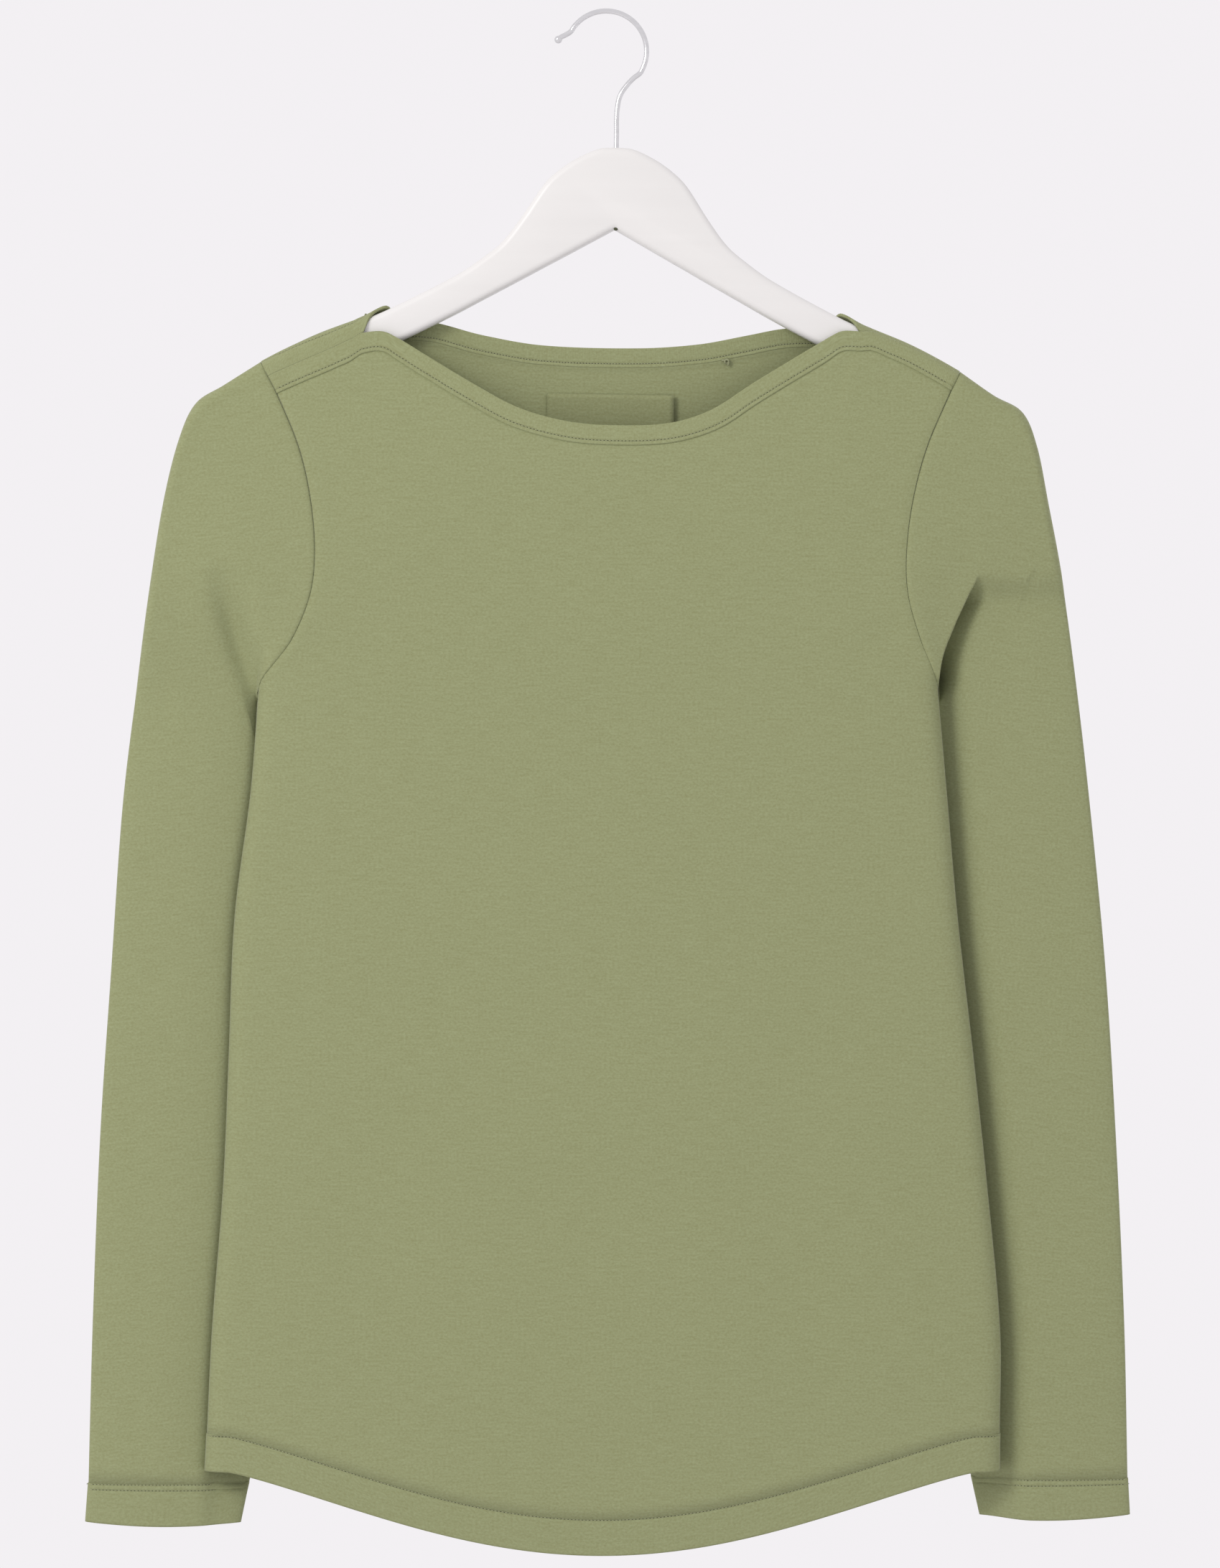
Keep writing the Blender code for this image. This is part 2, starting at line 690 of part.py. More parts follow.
def make_hanger(material):
    bm = bmesh.new()
    half = HANGER_THICKNESS / 2
    front = [bm.verts.new((x * MM, -half * MM, z * MM)) for x, z in hanger_outline()]
    face = bm.faces.new(front)
    extruded = bmesh.ops.extrude_face_region(bm, geom=[face])
    moved = [item for item in extruded["geom"] if isinstance(item, bmesh.types.BMVert)]
    bmesh.ops.translate(bm, verts=moved, vec=(0.0, HANGER_THICKNESS * MM, 0.0))
    bmesh.ops.recalc_face_normals(bm, faces=bm.faces)
    rims = [edge for edge in bm.edges if abs(edge.verts[0].co.y - edge.verts[1].co.y) < 1e-6]
    bmesh.ops.bevel(
        bm, geom=rims, offset=HANGER_EDGE * MM, segments=HANGER_EDGE_STEPS, profile=0.5,
        affect="EDGES", clamp_overlap=True, material=-1,
    )
    wood = add_mesh("hanger_wood", bm, material)

    drill = bmesh.new()
    bmesh.ops.create_cone(
        drill, segments=STEM_HOLE_SIDES, radius1=STEM_HOLE_RADIUS * MM, radius2=STEM_HOLE_RADIUS * MM,
        depth=2 * STEM_HOLE_DEPTH * MM, cap_ends=True,
    )
    cutter = add_mesh("stem_hole_cutter", drill, material)
    cutter.location = (HANGER_FOOT[0] * MM, 0.0, HANGER_FOOT[1] * MM)
    cutter.hide_render = True
    cutter.display_type = "WIRE"
    hole = wood.modifiers.new("Stem hole", "BOOLEAN")
    hole.operation = "DIFFERENCE"
    hole.solver = "EXACT"
    hole.object = cutter
    return wood


def hook_path():
    """The wire's middle: the stem, the round crown, then the tip that flares to its ball."""
    crown = []
    for angle in spread(CROWN_STEPS, HOOK_START, HOOK_END):
        crown.append((
            HOOK_CENTRE[0] + HOOK_RADIUS * math.cos(angle),
            HOOK_CENTRE[1] + HOOK_RADIUS * math.sin(angle),
        ))
    return list(HOOK_STEM) + crown + list(HOOK_TIP)


def make_hook(material):
    """A wire of round rings along the path, closed by a ball at its end."""
    path = hook_path()
    rings = [(point, WIRE_RADIUS) for point in path]
    last, before = path[-1], path[-2]
    length = math.dist(last, before)
    ahead = ((last[0] - before[0]) / length, (last[1] - before[1]) / length)
    for angle in BALL_RING_ANGLES:
        away = BALL_RADIUS * math.sin(math.radians(angle))
        size = BALL_RADIUS * math.cos(math.radians(angle))
        rings.append(((BALL_CENTRE[0] + ahead[0] * away, BALL_CENTRE[1] + ahead[1] * away), size))
    bm = bmesh.new()
    loops = []
    for i, (point, radius) in enumerate(rings):
        a, b = rings[max(i - 1, 0)][0], rings[min(i + 1, len(rings) - 1)][0]
        length = math.dist(a, b)
        side = ((b[1] - a[1]) / length, -(b[0] - a[0]) / length)
        loop = []
        for k in range(WIRE_SIDES):
            turn = 2 * math.pi * k / WIRE_SIDES
            off, y = radius * math.cos(turn), radius * math.sin(turn)
            loop.append(bm.verts.new(((point[0] + side[0] * off) * MM, y * MM, (point[1] + side[1] * off) * MM)))
        loops.append(loop)
    for first, second in zip(loops, loops[1:]):
        for k in range(WIRE_SIDES):
            j = (k + 1) % WIRE_SIDES
            bm.faces.new((first[k], first[j], second[j], second[k]))
    bm.faces.new(loops[0])
    bm.faces.new(list(reversed(loops[-1])))
    bmesh.ops.recalc_face_normals(bm, faces=bm.faces)
    return add_mesh("hanger_hook", bm, material)


def make_shirt():
    for face in ("front", "back"):
        jersey = new_material(f"jersey_{face}", SAGE, 0.9)
        doubled = new_material(f"doubled_{face}", PALE_SAGE, 0.9)
        hem_cloth = new_material(f"hem_{face}", PALE_SAGE, 0.9)
        cloth_wall(f"body_{face}", panel_rows(face), CLOTH_THICKNESS, jersey)
        cloth_wall(f"neck_binding_{face}", binding_rows(face), DOUBLED_THICKNESS, doubled)
        cloth_wall(f"hem_{face}", hem_rows(face), DOUBLED_THICKNESS, hem_cloth)
    for side in ("left", "right"):
        jersey = new_material(f"jersey_{side}", SAGE, 0.9)
        turned = new_material(f"cuff_{side}", PALE_SAGE, 0.9)
        cloth_wall(f"sleeve_{side}", sleeve_rows(side), CLOTH_THICKNESS, jersey, tube=True)
        cloth_wall(f"cuff_{side}", cuff_rows(side), DOUBLED_THICKNESS, turned, tube=True)
    patch_cloth = new_material("patch_cloth", SAGE, 0.9)
    cloth_wall("neck_patch", patch_rows(), CLOTH_THICKNESS, patch_cloth)


make_shirt()
make_hanger(new_material("white_paint", WHITE, 0.4))
make_hook(new_material("chrome_wire", CHROME, 0.15, 1.0))
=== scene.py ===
# %% [markdown]
# # A long-sleeved t-shirt on a hanger
# The real thing is a soft cotton jersey top with a wide boat neck, hung on a flat white
# hanger. Its cloth is cut as a front, a back and two sleeves, and its neck, hem and cuffs
# are finished with doubled cloth. This lesson builds each of those pieces as a thin sheet
# whose shape comes from a few measured lines, then sews it with small stitches.

import math
from bisect import bisect_right

import bmesh
import bpy
from mathutils import Matrix, Vector


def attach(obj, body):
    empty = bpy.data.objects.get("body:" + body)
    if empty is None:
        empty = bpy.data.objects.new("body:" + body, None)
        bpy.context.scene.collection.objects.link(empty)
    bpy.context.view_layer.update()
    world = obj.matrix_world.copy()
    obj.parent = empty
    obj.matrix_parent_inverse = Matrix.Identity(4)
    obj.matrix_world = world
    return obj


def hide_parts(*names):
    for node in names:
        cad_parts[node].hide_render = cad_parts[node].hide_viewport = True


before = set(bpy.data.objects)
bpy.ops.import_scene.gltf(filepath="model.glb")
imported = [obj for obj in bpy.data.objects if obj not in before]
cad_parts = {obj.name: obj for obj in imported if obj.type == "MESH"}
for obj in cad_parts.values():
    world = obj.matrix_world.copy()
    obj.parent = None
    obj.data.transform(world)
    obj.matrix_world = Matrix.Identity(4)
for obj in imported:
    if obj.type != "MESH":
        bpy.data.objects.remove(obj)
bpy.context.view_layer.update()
MM = 0.001
print("solids:", sorted(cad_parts))

# %% [markdown]
# ## Measured lines
# A garment hangs in smooth curves, so each edge is given by a few measured points in a
# table, and a cubic curve runs through them. The sizes are millimetres from the inner
# crown of the hook. X runs to the right of someone who faces the shirt, and Z up.

# %% Sizes of the cloth and the hanger
CLOTH = 0.9
DOUBLED = 1.5
TUCK_UNDER = 1.0
ARMHOLE_GAP = 0.3
SIDE_GAP = 0.3
BINDING_WIDTH = 10.5
SLOPE_REACH, STEEPEST_EDGE = 7.0, 1.1
HEM_DEPTH = 20.0
ARCH_RADIUS = 6.6
SIDE_FOLD = 9.0
HALF_WIDTH = 190.0
FULLNESS = {"front": 13.5, "back": 12.5}
FIT_START_Z, FIT_ROUNDS, ARMHOLE_ROUNDS = -200.0, 30, 12
FULLNESS_RUN = 150.0
ROUNDNESS = 2.5

HANGER_FOOT = (5.0, -71.8)
HANGER_TILT = math.radians(1.0)
HANGER_THICKNESS = 10.0
HANGER_LIFT = 1.4
RIDGE_FIRST_OUT, RIDGE_END_OUT, RIDGE_END_DROP = 119.0, 16.0, 24.0
HANGER_ROWS = (  # out from the stem, top edge, bottom edge
    (0.0, 0.0, -44.0),
    (9.0, -0.8, -49.0),
    (21.0, -6.2, -55.7),
    (30.0, -12.3, -60.7),
    (38.0, -20.0, -65.1),
    (50.0, -38.0, -71.8),
    (60.0, -51.3, -77.3),
    (70.0, -59.8, -82.8),
    (84.0, -69.5, -90.5),
    (119.0, -88.0, -108.4),
    (134.0, -94.6, -115.4),
    (160.0, -105.0, -127.0),
    (186.0, -118.6, -139.0),
    (205.0, -131.0, -148.0),
    (217.0, -138.5, -151.5),
    (220.0, -142.0, -149.5),
)

# %% Edges of the body: armhole seams, sides, neck and hem
ARMHOLE_ROWS = (  # height, left seam, right seam
    (-180.0, -187.5, 193.5),
    (-190.0, -183.0, 189.5),
    (-203.0, -176.3, 183.4),
    (-233.0, -164.0, 170.6),
    (-262.0, -157.6, 163.0),
    (-290.0, -155.6, 159.7),
    (-312.0, -158.3, 160.7),
    (-335.0, -167.8, 167.2),
    (-348.0, -177.5, 172.6),
    (-353.0, -181.8, 174.7),
    (-357.0, -184.6, 176.0),
    (-360.0, -185.5, 176.5),
)
SIDE_ROWS = (  # height, left side, right side
    (-360.0, -185.8, 176.6),
    (-415.0, -190.0, 181.4),
    (-483.0, -198.7, 187.3),
    (-556.0, -201.8, 195.6),
    (-626.0, -204.8, 203.0),
    (-704.0, -210.8, 210.0),
    (-759.0, -213.5, 209.8),
    (-800.0, -215.6, 209.5),
)
UNDERARM_Z = -360.0
ARMHOLE_SHARE = {"front": 1.0, "back": 0.8}
ARMHOLE_CHORD = {"left": -186.0, "right": 182.0}
CHORD_FADE_LOW, CHORD_FADE_HIGH = 40.0, 30.0
TURN_TOP_X, TURN_TOP_Z, TURN_LEAN, TURN_RUN = 226.0, -210.0, 0.17, 62.0
FRONT_TOP_ROWS = (  # x, cloth from the shoulder ridge down to the neck edge
    (-190.0, 13.0),
    (-155.0, 15.0),
    (-136.0, 13.5),
    (-130.0, 12.6),
    (-111.0, 21.9),
    (-98.3, 29.7),
    (-71.8, 45.8),
    (-47.6, 58.7),
    (-21.1, 66.0),
    (5.4, 67.8),
    (34.2, 65.8),
    (56.1, 58.1),
    (78.3, 43.1),
    (113.3, 20.6),
    (124.0, 14.0),
    (131.5, 10.0),
    (135.0, 8.2),
    (139.0, 6.0),
    (143.0, 4.5),
    (192.0, 4.5),
)
BACK_TOP_ROWS = (  # the same for the back, negative where it laps over the ridge
    (-190.0, -13.0),
    (-155.0, -15.0),
    (-136.0, -13.5),
    (-130.0, -12.6),
    (-127.9, -8.2),
    (-126.0, -4.8),
    (-122.5, -1.4),
    (-118.0, 1.0),
    (-115.0, 5.5),
    (-111.5, 10.8),
    (-102.0, 11.4),
    (-90.6, 12.6),
    (-67.0, 18.9),
    (-34.0, 24.3),
    (16.5, 25.1),
    (49.5, 22.2),
    (75.0, 16.8),
    (93.7, 12.6),
    (108.0, 11.4),
    (118.5, 10.8),
    (122.0, 5.5),
    (125.0, 1.0),
    (129.5, -1.4),
    (132.8, -4.8),
    (135.0, -8.2),
    (139.0, -6.0),
    (143.0, -4.5),
    (192.0, -4.5),
)
HEM_LEFT, HEM_RIGHT = -215.0, 209.5
HEM_CORNER_Z = -779.0
HEM_DROP = {"front": 44.0, "back": 41.0}
HEM_FLAT_SHARE = 0.03
HEM_POWER = 1.2

# %% Edges of the sleeves, from shoulder to cuff
SLEEVE_COLUMNS = ("outer_x", "outer_z", "inner_x", "inner_z")
SLEEVE_ROWS = {
    "left": (
        (-184.0, -186.0, -186.3, -360.0),
        (-204.0, -198.6, -187.8, -370.0),
        (-219.5, -208.8, -187.0, -388.0),
        (-228.5, -228.0, -182.0, -412.0),
        (-236.5, -260.0, -170.5, -444.0),
        (-243.5, -303.0, -160.0, -480.0),
        (-251.0, -358.0, -154.0, -520.0),
        (-259.0, -424.0, -154.0, -562.0),
        (-265.0, -510.0, -161.0, -616.0),
        (-271.0, -600.0, -171.0, -672.0),
        (-275.0, -700.0, -183.5, -738.0),
        (-277.3, -787.4, -192.6, -787.6),
    ),
    "right": (
        (188.5, -191.8, 177.1, -360.0),
        (206.5, -204.4, 178.4, -370.0),
        (222.0, -213.6, 178.0, -388.0),
        (229.8, -232.0, 173.5, -412.0),
        (235.8, -262.0, 163.0, -444.0),
        (243.5, -303.0, 154.0, -480.0),
        (251.0, -358.0, 149.5, -520.0),
        (258.5, -424.0, 151.0, -562.0),
        (266.7, -510.0, 161.0, -616.0),
        (272.3, -600.0, 173.0, -672.0),
        (276.8, -700.0, 187.0, -738.0),
        (278.6, -784.8, 196.6, -785.2),
    ),
}
CUFF_END = {
    "left": (-278.8, -807.2, -197.0, -807.9),
    "right": (279.6, -803.3, 201.2, -804.9),
}
CUFF_SAG = 2.0
SLEEVE_HALF_DEPTH = 5.0
SLEEVE_REACH = 330.0
SLEEVE_OUT_Y, SLEEVE_NEAR_Y, SLEEVE_SIDE_Y, SLEEVE_BEHIND_Y = 1.0, 1.9, -2.0, 13.8
SLEEVE_TUCK, SLEEVE_TUCK_START = 24.0, 18.0
SLEEVE_NEAR_RUN = 30.0
SLEEVE_BEHIND_START_Z, SLEEVE_BEHIND_RUN = -326.0, 50.0
SLEEVE_SPREAD = 0.05
BEHIND_START, BEHIND_RUN, BEHIND_EXTRA, BEHIND_EXTRA_RUN = 4.0, 12.0, 5.5, 15.0
LOWER_LIFT, LOWER_RUN = 25.0, 45.0
CUFF_EASE, CUFF_EASE_START_Z, CUFF_EASE_RUN = 0.7, -778.0, 16.0
BOW_FADE, BOW_FADE_NARROWING, RING_FADE = 0.22, 0.1, 0.1
LEAVE_FADE, LEAVE_OUT, LEAVE_UP = 0.13, 0.15, 0.5
LEAVE_FROM, LEAVE_RUN, LEAVE_EDGE = 0.55, 0.35, 0.06
UNDERARM_CLEARANCE, CLEARANCE_START_Z, CLEARANCE_RUN = 0.3, -344.0, 18.0
UNDER_LIFT, UNDER_RUN = 6.0, 20.0
SEAM_FADE = {"left": 0.07, "right": 0.014}
DIP_FADE = 12
FOLD_ROWS = (  # height, where the left and the right sleeve fold behind the body
    (-285.0, -206.0, 201.5),
    (-296.0, -204.5, 199.0),
    (-304.5, -203.0, 196.0),
    (-312.6, -201.0, 192.0),
    (-321.8, -198.8, 187.8),
    (-331.4, -196.2, 183.6),
    (-341.8, -192.5, 179.6),
    (-349.4, -189.6, 177.8),
    (-356.0, -187.4, 176.9),
    (-360.0, -185.8, 176.6),
)
FOLD_START = {"left": (-318.0, 70.0), "right": (-300.0, 16.0)}
FOLD_STEP = {  # how early and over what width the cloth steps back at the fold
    ("left", "front"): (0.0, 22.0),
    ("left", "back"): (0.0, 22.0),
    ("right", "front"): (0.0, 1.6),
    ("right", "back"): (9.0, 14.0),
}
OVERLAP, OVERLAP_WIDTH, OVERLAP_END_Z, OVERLAP_RUN = 7.0, 4.5, -357.0, 24.0
SLOT_DEPTH, SLOT_WIDTH = 13.0, 6.5
SLOT_SHARE = {"front": 1.0, "back": 0.7}
FALL_START = {"left": -300.0, "right": -240.0}
FALL_RUN, FALL_WIDTH = 150.0, 40.0
TROUGH_DEPTH, TROUGH_WIDTH, TROUGH_SHIFT = 8.5, 8.5, 2.0
TROUGH_START_Z, TROUGH_RUN = -290.0, 40.0
OUTWARD = {"left": -1, "right": 1}


# %% Curves through the tables
def smooth_through(knots, values):
    """A smooth curve through the points, level beyond both ends."""
    last = len(knots) - 1
    slopes = []
    for i in range(last + 1):
        low, high = max(i - 1, 0), min(i + 1, last)
        slopes.append((values[high] - values[low]) / (knots[high] - knots[low]))

    def value_at(knot):
        if knot <= knots[0]:
            return values[0]
        if knot >= knots[last]:
            return values[last]
        i = bisect_right(knots, knot) - 1
        run = knots[i + 1] - knots[i]
        t = (knot - knots[i]) / run
        rise = values[i + 1] - values[i]
        start, end = slopes[i] * run, slopes[i + 1] * run
        bend = 3 * rise - 2 * start - end
        return values[i] + t * start + t * t * bend + t**3 * (start + end - 2 * rise)

    return value_at


def table_curve(rows, column):
    ordered = sorted(rows)
    return smooth_through([row[0] for row in ordered], [row[column] for row in ordered])


def smooth_step(t):
    t = min(max(t, 0.0), 1.0)
    return t * t * (3 - 2 * t)


def mix(a, b, share):
    return a + (b - a) * share


def steps(start, end, count):
    return [mix(start, end, i / count) for i in range(count + 1)]


def hanger_to_world(out, up):
    """A point of the hanger's upright frame, after it tips a little to the right."""
    x = HANGER_FOOT[0] + out * math.cos(HANGER_TILT) + up * math.sin(HANGER_TILT)
    z = HANGER_FOOT[1] - out * math.sin(HANGER_TILT) + up * math.cos(HANGER_TILT)
    return x, z


def ridge_curve():
    """Height of the cloth's ridge: over each arm of the hanger, and level across the neck."""
    tops = [(row[0], row[1] + HANGER_LIFT) for row in HANGER_ROWS if row[0] >= RIDGE_FIRST_OUT]
    left = [hanger_to_world(-out, up) for out, up in reversed(tops)]
    right = [hanger_to_world(out, up) for out, up in tops]
    points = [(left[0][0] - RIDGE_END_OUT, left[0][1] - RIDGE_END_DROP)] + left + right
    points.append((right[-1][0] + RIDGE_END_OUT, right[-1][1] - RIDGE_END_DROP))
    return smooth_through([point[0] for point in points], [point[1] for point in points])


ridge_z = ridge_curve()
front_top = table_curve(FRONT_TOP_ROWS, 1)
back_top = table_curve(BACK_TOP_ROWS, 1)
armhole_x = {"left": table_curve(ARMHOLE_ROWS, 1), "right": table_curve(ARMHOLE_ROWS, 2)}
side_x = {"left": table_curve(SIDE_ROWS, 1), "right": table_curve(SIDE_ROWS, 2)}
fold_x = {"left": table_curve(FOLD_ROWS, 1), "right": table_curve(FOLD_ROWS, 2)}
print("shoulder ridge at the left and right:", round(ridge_z(-186), 1), round(ridge_z(182), 1))

# %% [markdown]
# ## How the cloth hangs
# The shirt is a flat bag that turns over the hanger's top edge, so its cloth leaves the
# ridge in a small arch and then stands a few millimetres from the hanger's plane. One
# function gives that distance for any place, and each panel takes its points from it, so
# neighbouring panels meet without fitting.


# %% The body's surface
def seam_x(side, z, face):
    """Edge of a body panel: the armhole seam, then the side seam."""
    if z < UNDERARM_Z:
        return side_x[side](z)
    chord = ARMHOLE_CHORD[side]
    ease = smooth_step((z - UNDERARM_Z) / CHORD_FADE_LOW)
    ease *= smooth_step((ridge_z(chord) - z) / CHORD_FADE_HIGH)
    return mix(armhole_x[side](z), chord, (1 - ARMHOLE_SHARE[face]) * ease)


def turning_line_x(side, z):
    """Where the cloth turns from front to back: the sleeve's outside, then the body's side."""
    if z < UNDERARM_Z:
        return side_x[side](z)
    outer = OUTWARD[side] * (TURN_TOP_X + TURN_LEAN * (TURN_TOP_Z - z))
    return mix(side_x[side](UNDERARM_Z), outer, smooth_step((z - UNDERARM_Z) / TURN_RUN))


def fullness(x, z, face):
    """How far the cloth stands from the hanger's plane: by its arch, and by its slack."""
    drop = ridge_z(x) - z
    inset = max(min(x - turning_line_x("left", z), turning_line_x("right", z) - x), 0.0)
    turned = 1 - min(inset / SIDE_FOLD, 1.0)
    fold = math.sqrt(max(1 - turned * turned, 0.0))
    across = 1 - min(inset / HALF_WIDTH, 1.0)
    lens = (1 - across**ROUNDNESS) ** (1 / ROUNDNESS)
    slack = 1 - (1 - min(max(drop - ARCH_RADIUS, 0.0) / FULLNESS_RUN, 1.0)) ** 2
    return ARCH_RADIUS * fold, (FULLNESS[face] - ARCH_RADIUS) * slack * lens


def cloth_point(x, below, face):
    """The point of the body's cloth that lies `below` mm of cloth under the ridge."""
    if below < 0:
        below = -below
        face = "back" if face == "front" else "front"
    sign = -1 if face == "front" else 1
    quarter = ARCH_RADIUS * math.pi / 2
    if below < quarter:
        turn = below / ARCH_RADIUS
        arch, z = math.sin(turn), ridge_z(x) - ARCH_RADIUS * (1 - math.cos(turn))
    else:
        arch, z = 1.0, ridge_z(x) - ARCH_RADIUS - (below - quarter)
    fold, growth = fullness(x, z, face)
    return Vector((x, sign * (fold * arch + growth), z))


def below_at(x, z):
    """Cloth length under the ridge at a height that lies under the arch."""
    return ridge_z(x) - z + ARCH_RADIUS * (math.pi / 2 - 1)


def hem_z(x, face):
    share = (x - HEM_LEFT) / (HEM_RIGHT - HEM_LEFT)
    share = (share - HEM_FLAT_SHARE) / (1 - 2 * HEM_FLAT_SHARE)
    swing = math.sin(math.pi * min(max(share, 0.0), 1.0))
    return HEM_CORNER_Z - HEM_DROP[face] * swing**HEM_POWER


def top_below(x, face):
    """Where a face's top edge runs; along the shoulder seams both faces share one line."""
    return front_top(x) if face == "front" else max(back_top(x), -front_top(x))


def edge_slope(x, face):
    """Slope of a face's top edge, over a short stretch on both sides."""
    ends = (x - SLOPE_REACH, x + SLOPE_REACH)
    before, after = (ridge_z(end) - top_below(end, face) for end in ends)
    return (after - before) / (2 * SLOPE_REACH)


def strip_below(x, face):
    """Cloth length of the binding at this column, measured straight down."""
    return BINDING_WIDTH * math.sqrt(1 + min(abs(edge_slope(x, face)), STEEPEST_EDGE) ** 2)


def panel_top(x, face):
    return top_below(x, face) + strip_below(x, face) - TUCK_UNDER


def panel_bottom(x, face):
    return below_at(x, hem_z(x, face) + HEM_DEPTH - TUCK_UNDER)


def inwards(face, depth):
    """A step from a face's skin towards the hanger's plane."""
    return Vector((0.0, depth if face == "front" else -depth, 0.0))


def body_edge(side, below_of, face):
    """The (x, z) where a line across the body meets the armhole or side seam."""
    x, z = ARMHOLE_CHORD[side], FIT_START_Z
    for _ in range(FIT_ROUNDS):
        z = cloth_point(x, below_of(x), face).z
        x = seam_x(side, z, face)
    return x, z


def armhole_point(side, share, face):
    """A point of the armhole seam, from the shoulder's ridge at 0 to the underarm at 1."""
    x = ARMHOLE_CHORD[side]
    for _ in range(ARMHOLE_ROUNDS):
        z = cloth_point(x, share * below_at(x, UNDERARM_Z), face).z
        x = seam_x(side, z, face)
    return cloth_point(x, share * below_at(x, UNDERARM_Z), face)


print("chest stands out", round(-cloth_point(0, 300, "front").y, 1), "mm in front of the hanger")


# %% [markdown]
# ## From rows of points to a sheet of cloth
# A grid is the natural start for woven or knitted cloth, because its rows and columns run
# like the cloth's own. Each grid point is moved to its place, and a Solidify modifier gives
# the cloth its thickness. The place on the flat cloth is kept as an attribute, so that the
# yarns in the material follow the cloth round every bend.


# %% Make a sheet
SAME_PLACE = 1e-7


def finish_mesh(name, bm, material, sharp=40):
    mesh = bpy.data.meshes.new(name)
    bm.to_mesh(mesh)
    bm.free()
    mesh.shade_smooth()
    mesh.set_sharp_from_angle(angle=math.radians(sharp))
    mesh.materials.append(material)
    piece = bpy.data.objects.new(name, mesh)
    bpy.context.scene.collection.objects.link(piece)
    return piece


def ordered_grid(bm, columns, rows):
    """A flat grid's points, row by row from its top left corner."""
    bmesh.ops.create_grid(bm, x_segments=columns - 1, y_segments=rows - 1, size=1.0)
    return sorted(bm.verts, key=lambda v: (round(-v.co.y, 5), round(v.co.x, 5)))


def add_wall(piece, thickness):
    """Gives a sheet its thickness, half to each side of the points."""
    wall = piece.modifiers.new("Thickness", "SOLIDIFY")
    wall.thickness = thickness * MM
    wall.offset = 0.0
    return wall


def cloth_sheet(name, rows, thickness, material, flat_places, tube=False):
    """A sheet whose middle runs through the rows, with (u, v) places on the flat cloth."""
    bm = bmesh.new()
    layer = bm.verts.layers.float_vector.new("cloth_place")
    ordered = ordered_grid(bm, len(rows[0]), len(rows))
    points = [point for row in rows for point in row]
    places = [place for row in flat_places for place in row]
    for vert, point, place in zip(ordered, points, places):
        vert.co = Vector(point) * MM
        vert[layer] = Vector((place[0] * MM, place[1] * MM, 0.0))
    if tube:
        bmesh.ops.remove_doubles(bm, verts=bm.verts, dist=SAME_PLACE)
    bmesh.ops.recalc_face_normals(bm, faces=bm.faces)
    piece = finish_mesh(name, bm, material)
    add_wall(piece, thickness).use_even_offset = not tube
    print(f"{name}: {len(points)} points")
    return piece


# %% [markdown]
# ## Jersey and thread
# The cloth is a fine cotton jersey in sage green. Close up it is rows of tiny stitches with
# slubs, short thicker runs of yarn, lying across it. From a metre away only the slubs and a
# soft bloom of loose fibres show, so the material mixes a stretched noise for the slubs, a
# fine wave for the knit, and a sheen on the shader's own socket for the bloom.


# %% Cloth materials
def add_node(material, kind, **values):
    node = material.node_tree.nodes.new(kind)
    for name, value in values.items():
        if name in node.inputs:
            node.inputs[name].default_value = value
        else:
            setattr(node, name, value)
    return node


def join(material, *pairs):
    """Connects nodes: each pair is a node and its output, then a node and its input."""
    for source, output, target, socket in pairs:
        material.node_tree.links.new(source.outputs[output], target.inputs[socket])


def two_tones(material, dark, light, ends=(0.0, 1.0)):
    """A ramp from a dark to a light colour between two positions."""
    ramp = material.node_tree.nodes.new("ShaderNodeValToRGB")
    for stop, position, color in zip(ramp.color_ramp.elements, ends, (dark, light)):
        stop.position = position
        stop.color = (*color, 1.0)
    return ramp


def stretched_noise(material, place, scale, detail, seed):
    """Noise on the flat cloth, stretched by a different scale along and down it."""
    mapping = add_node(material, "ShaderNodeMapping")
    mapping.inputs["Scale"].default_value = scale
    mapping.inputs["Location"].default_value = (seed, seed * 0.7, 0.0)
    noise = add_node(material, "ShaderNodeTexNoise", Scale=1.0, Detail=detail, Roughness=0.6)
    join(material, (place, "Vector", mapping, "Vector"), (mapping, "Vector", noise, "Vector"))
    return noise


def times(color, factors):
    return [value * factor for value, factor in zip(color, factors)]


SLUB_SCALE, PATCHY_SCALE, GRAIN_SCALE = (80.0, 700.0, 1.0), (14.0, 20.0, 1.0), (700.0, 900.0, 1.0)
DARK_YARN, LIGHT_YARN = (0.90, 0.875, 0.82), (1.10, 1.11, 1.15)
YARN_RANGE = (0.52, 0.98)
DULL_PATCH, CLEAN = (0.965, 0.965, 0.96), (1.0, 1.0, 1.0)
RIB_SHARE = 0.4
JERSEY_FINISH = {
    "Roughness": 0.92,
    "Specular IOR Level": 0.18,
    "Sheen Weight": 0.22,
    "Sheen Roughness": 0.45,
    "Sheen Tint": (0.86, 0.88, 0.74, 1.0),
}


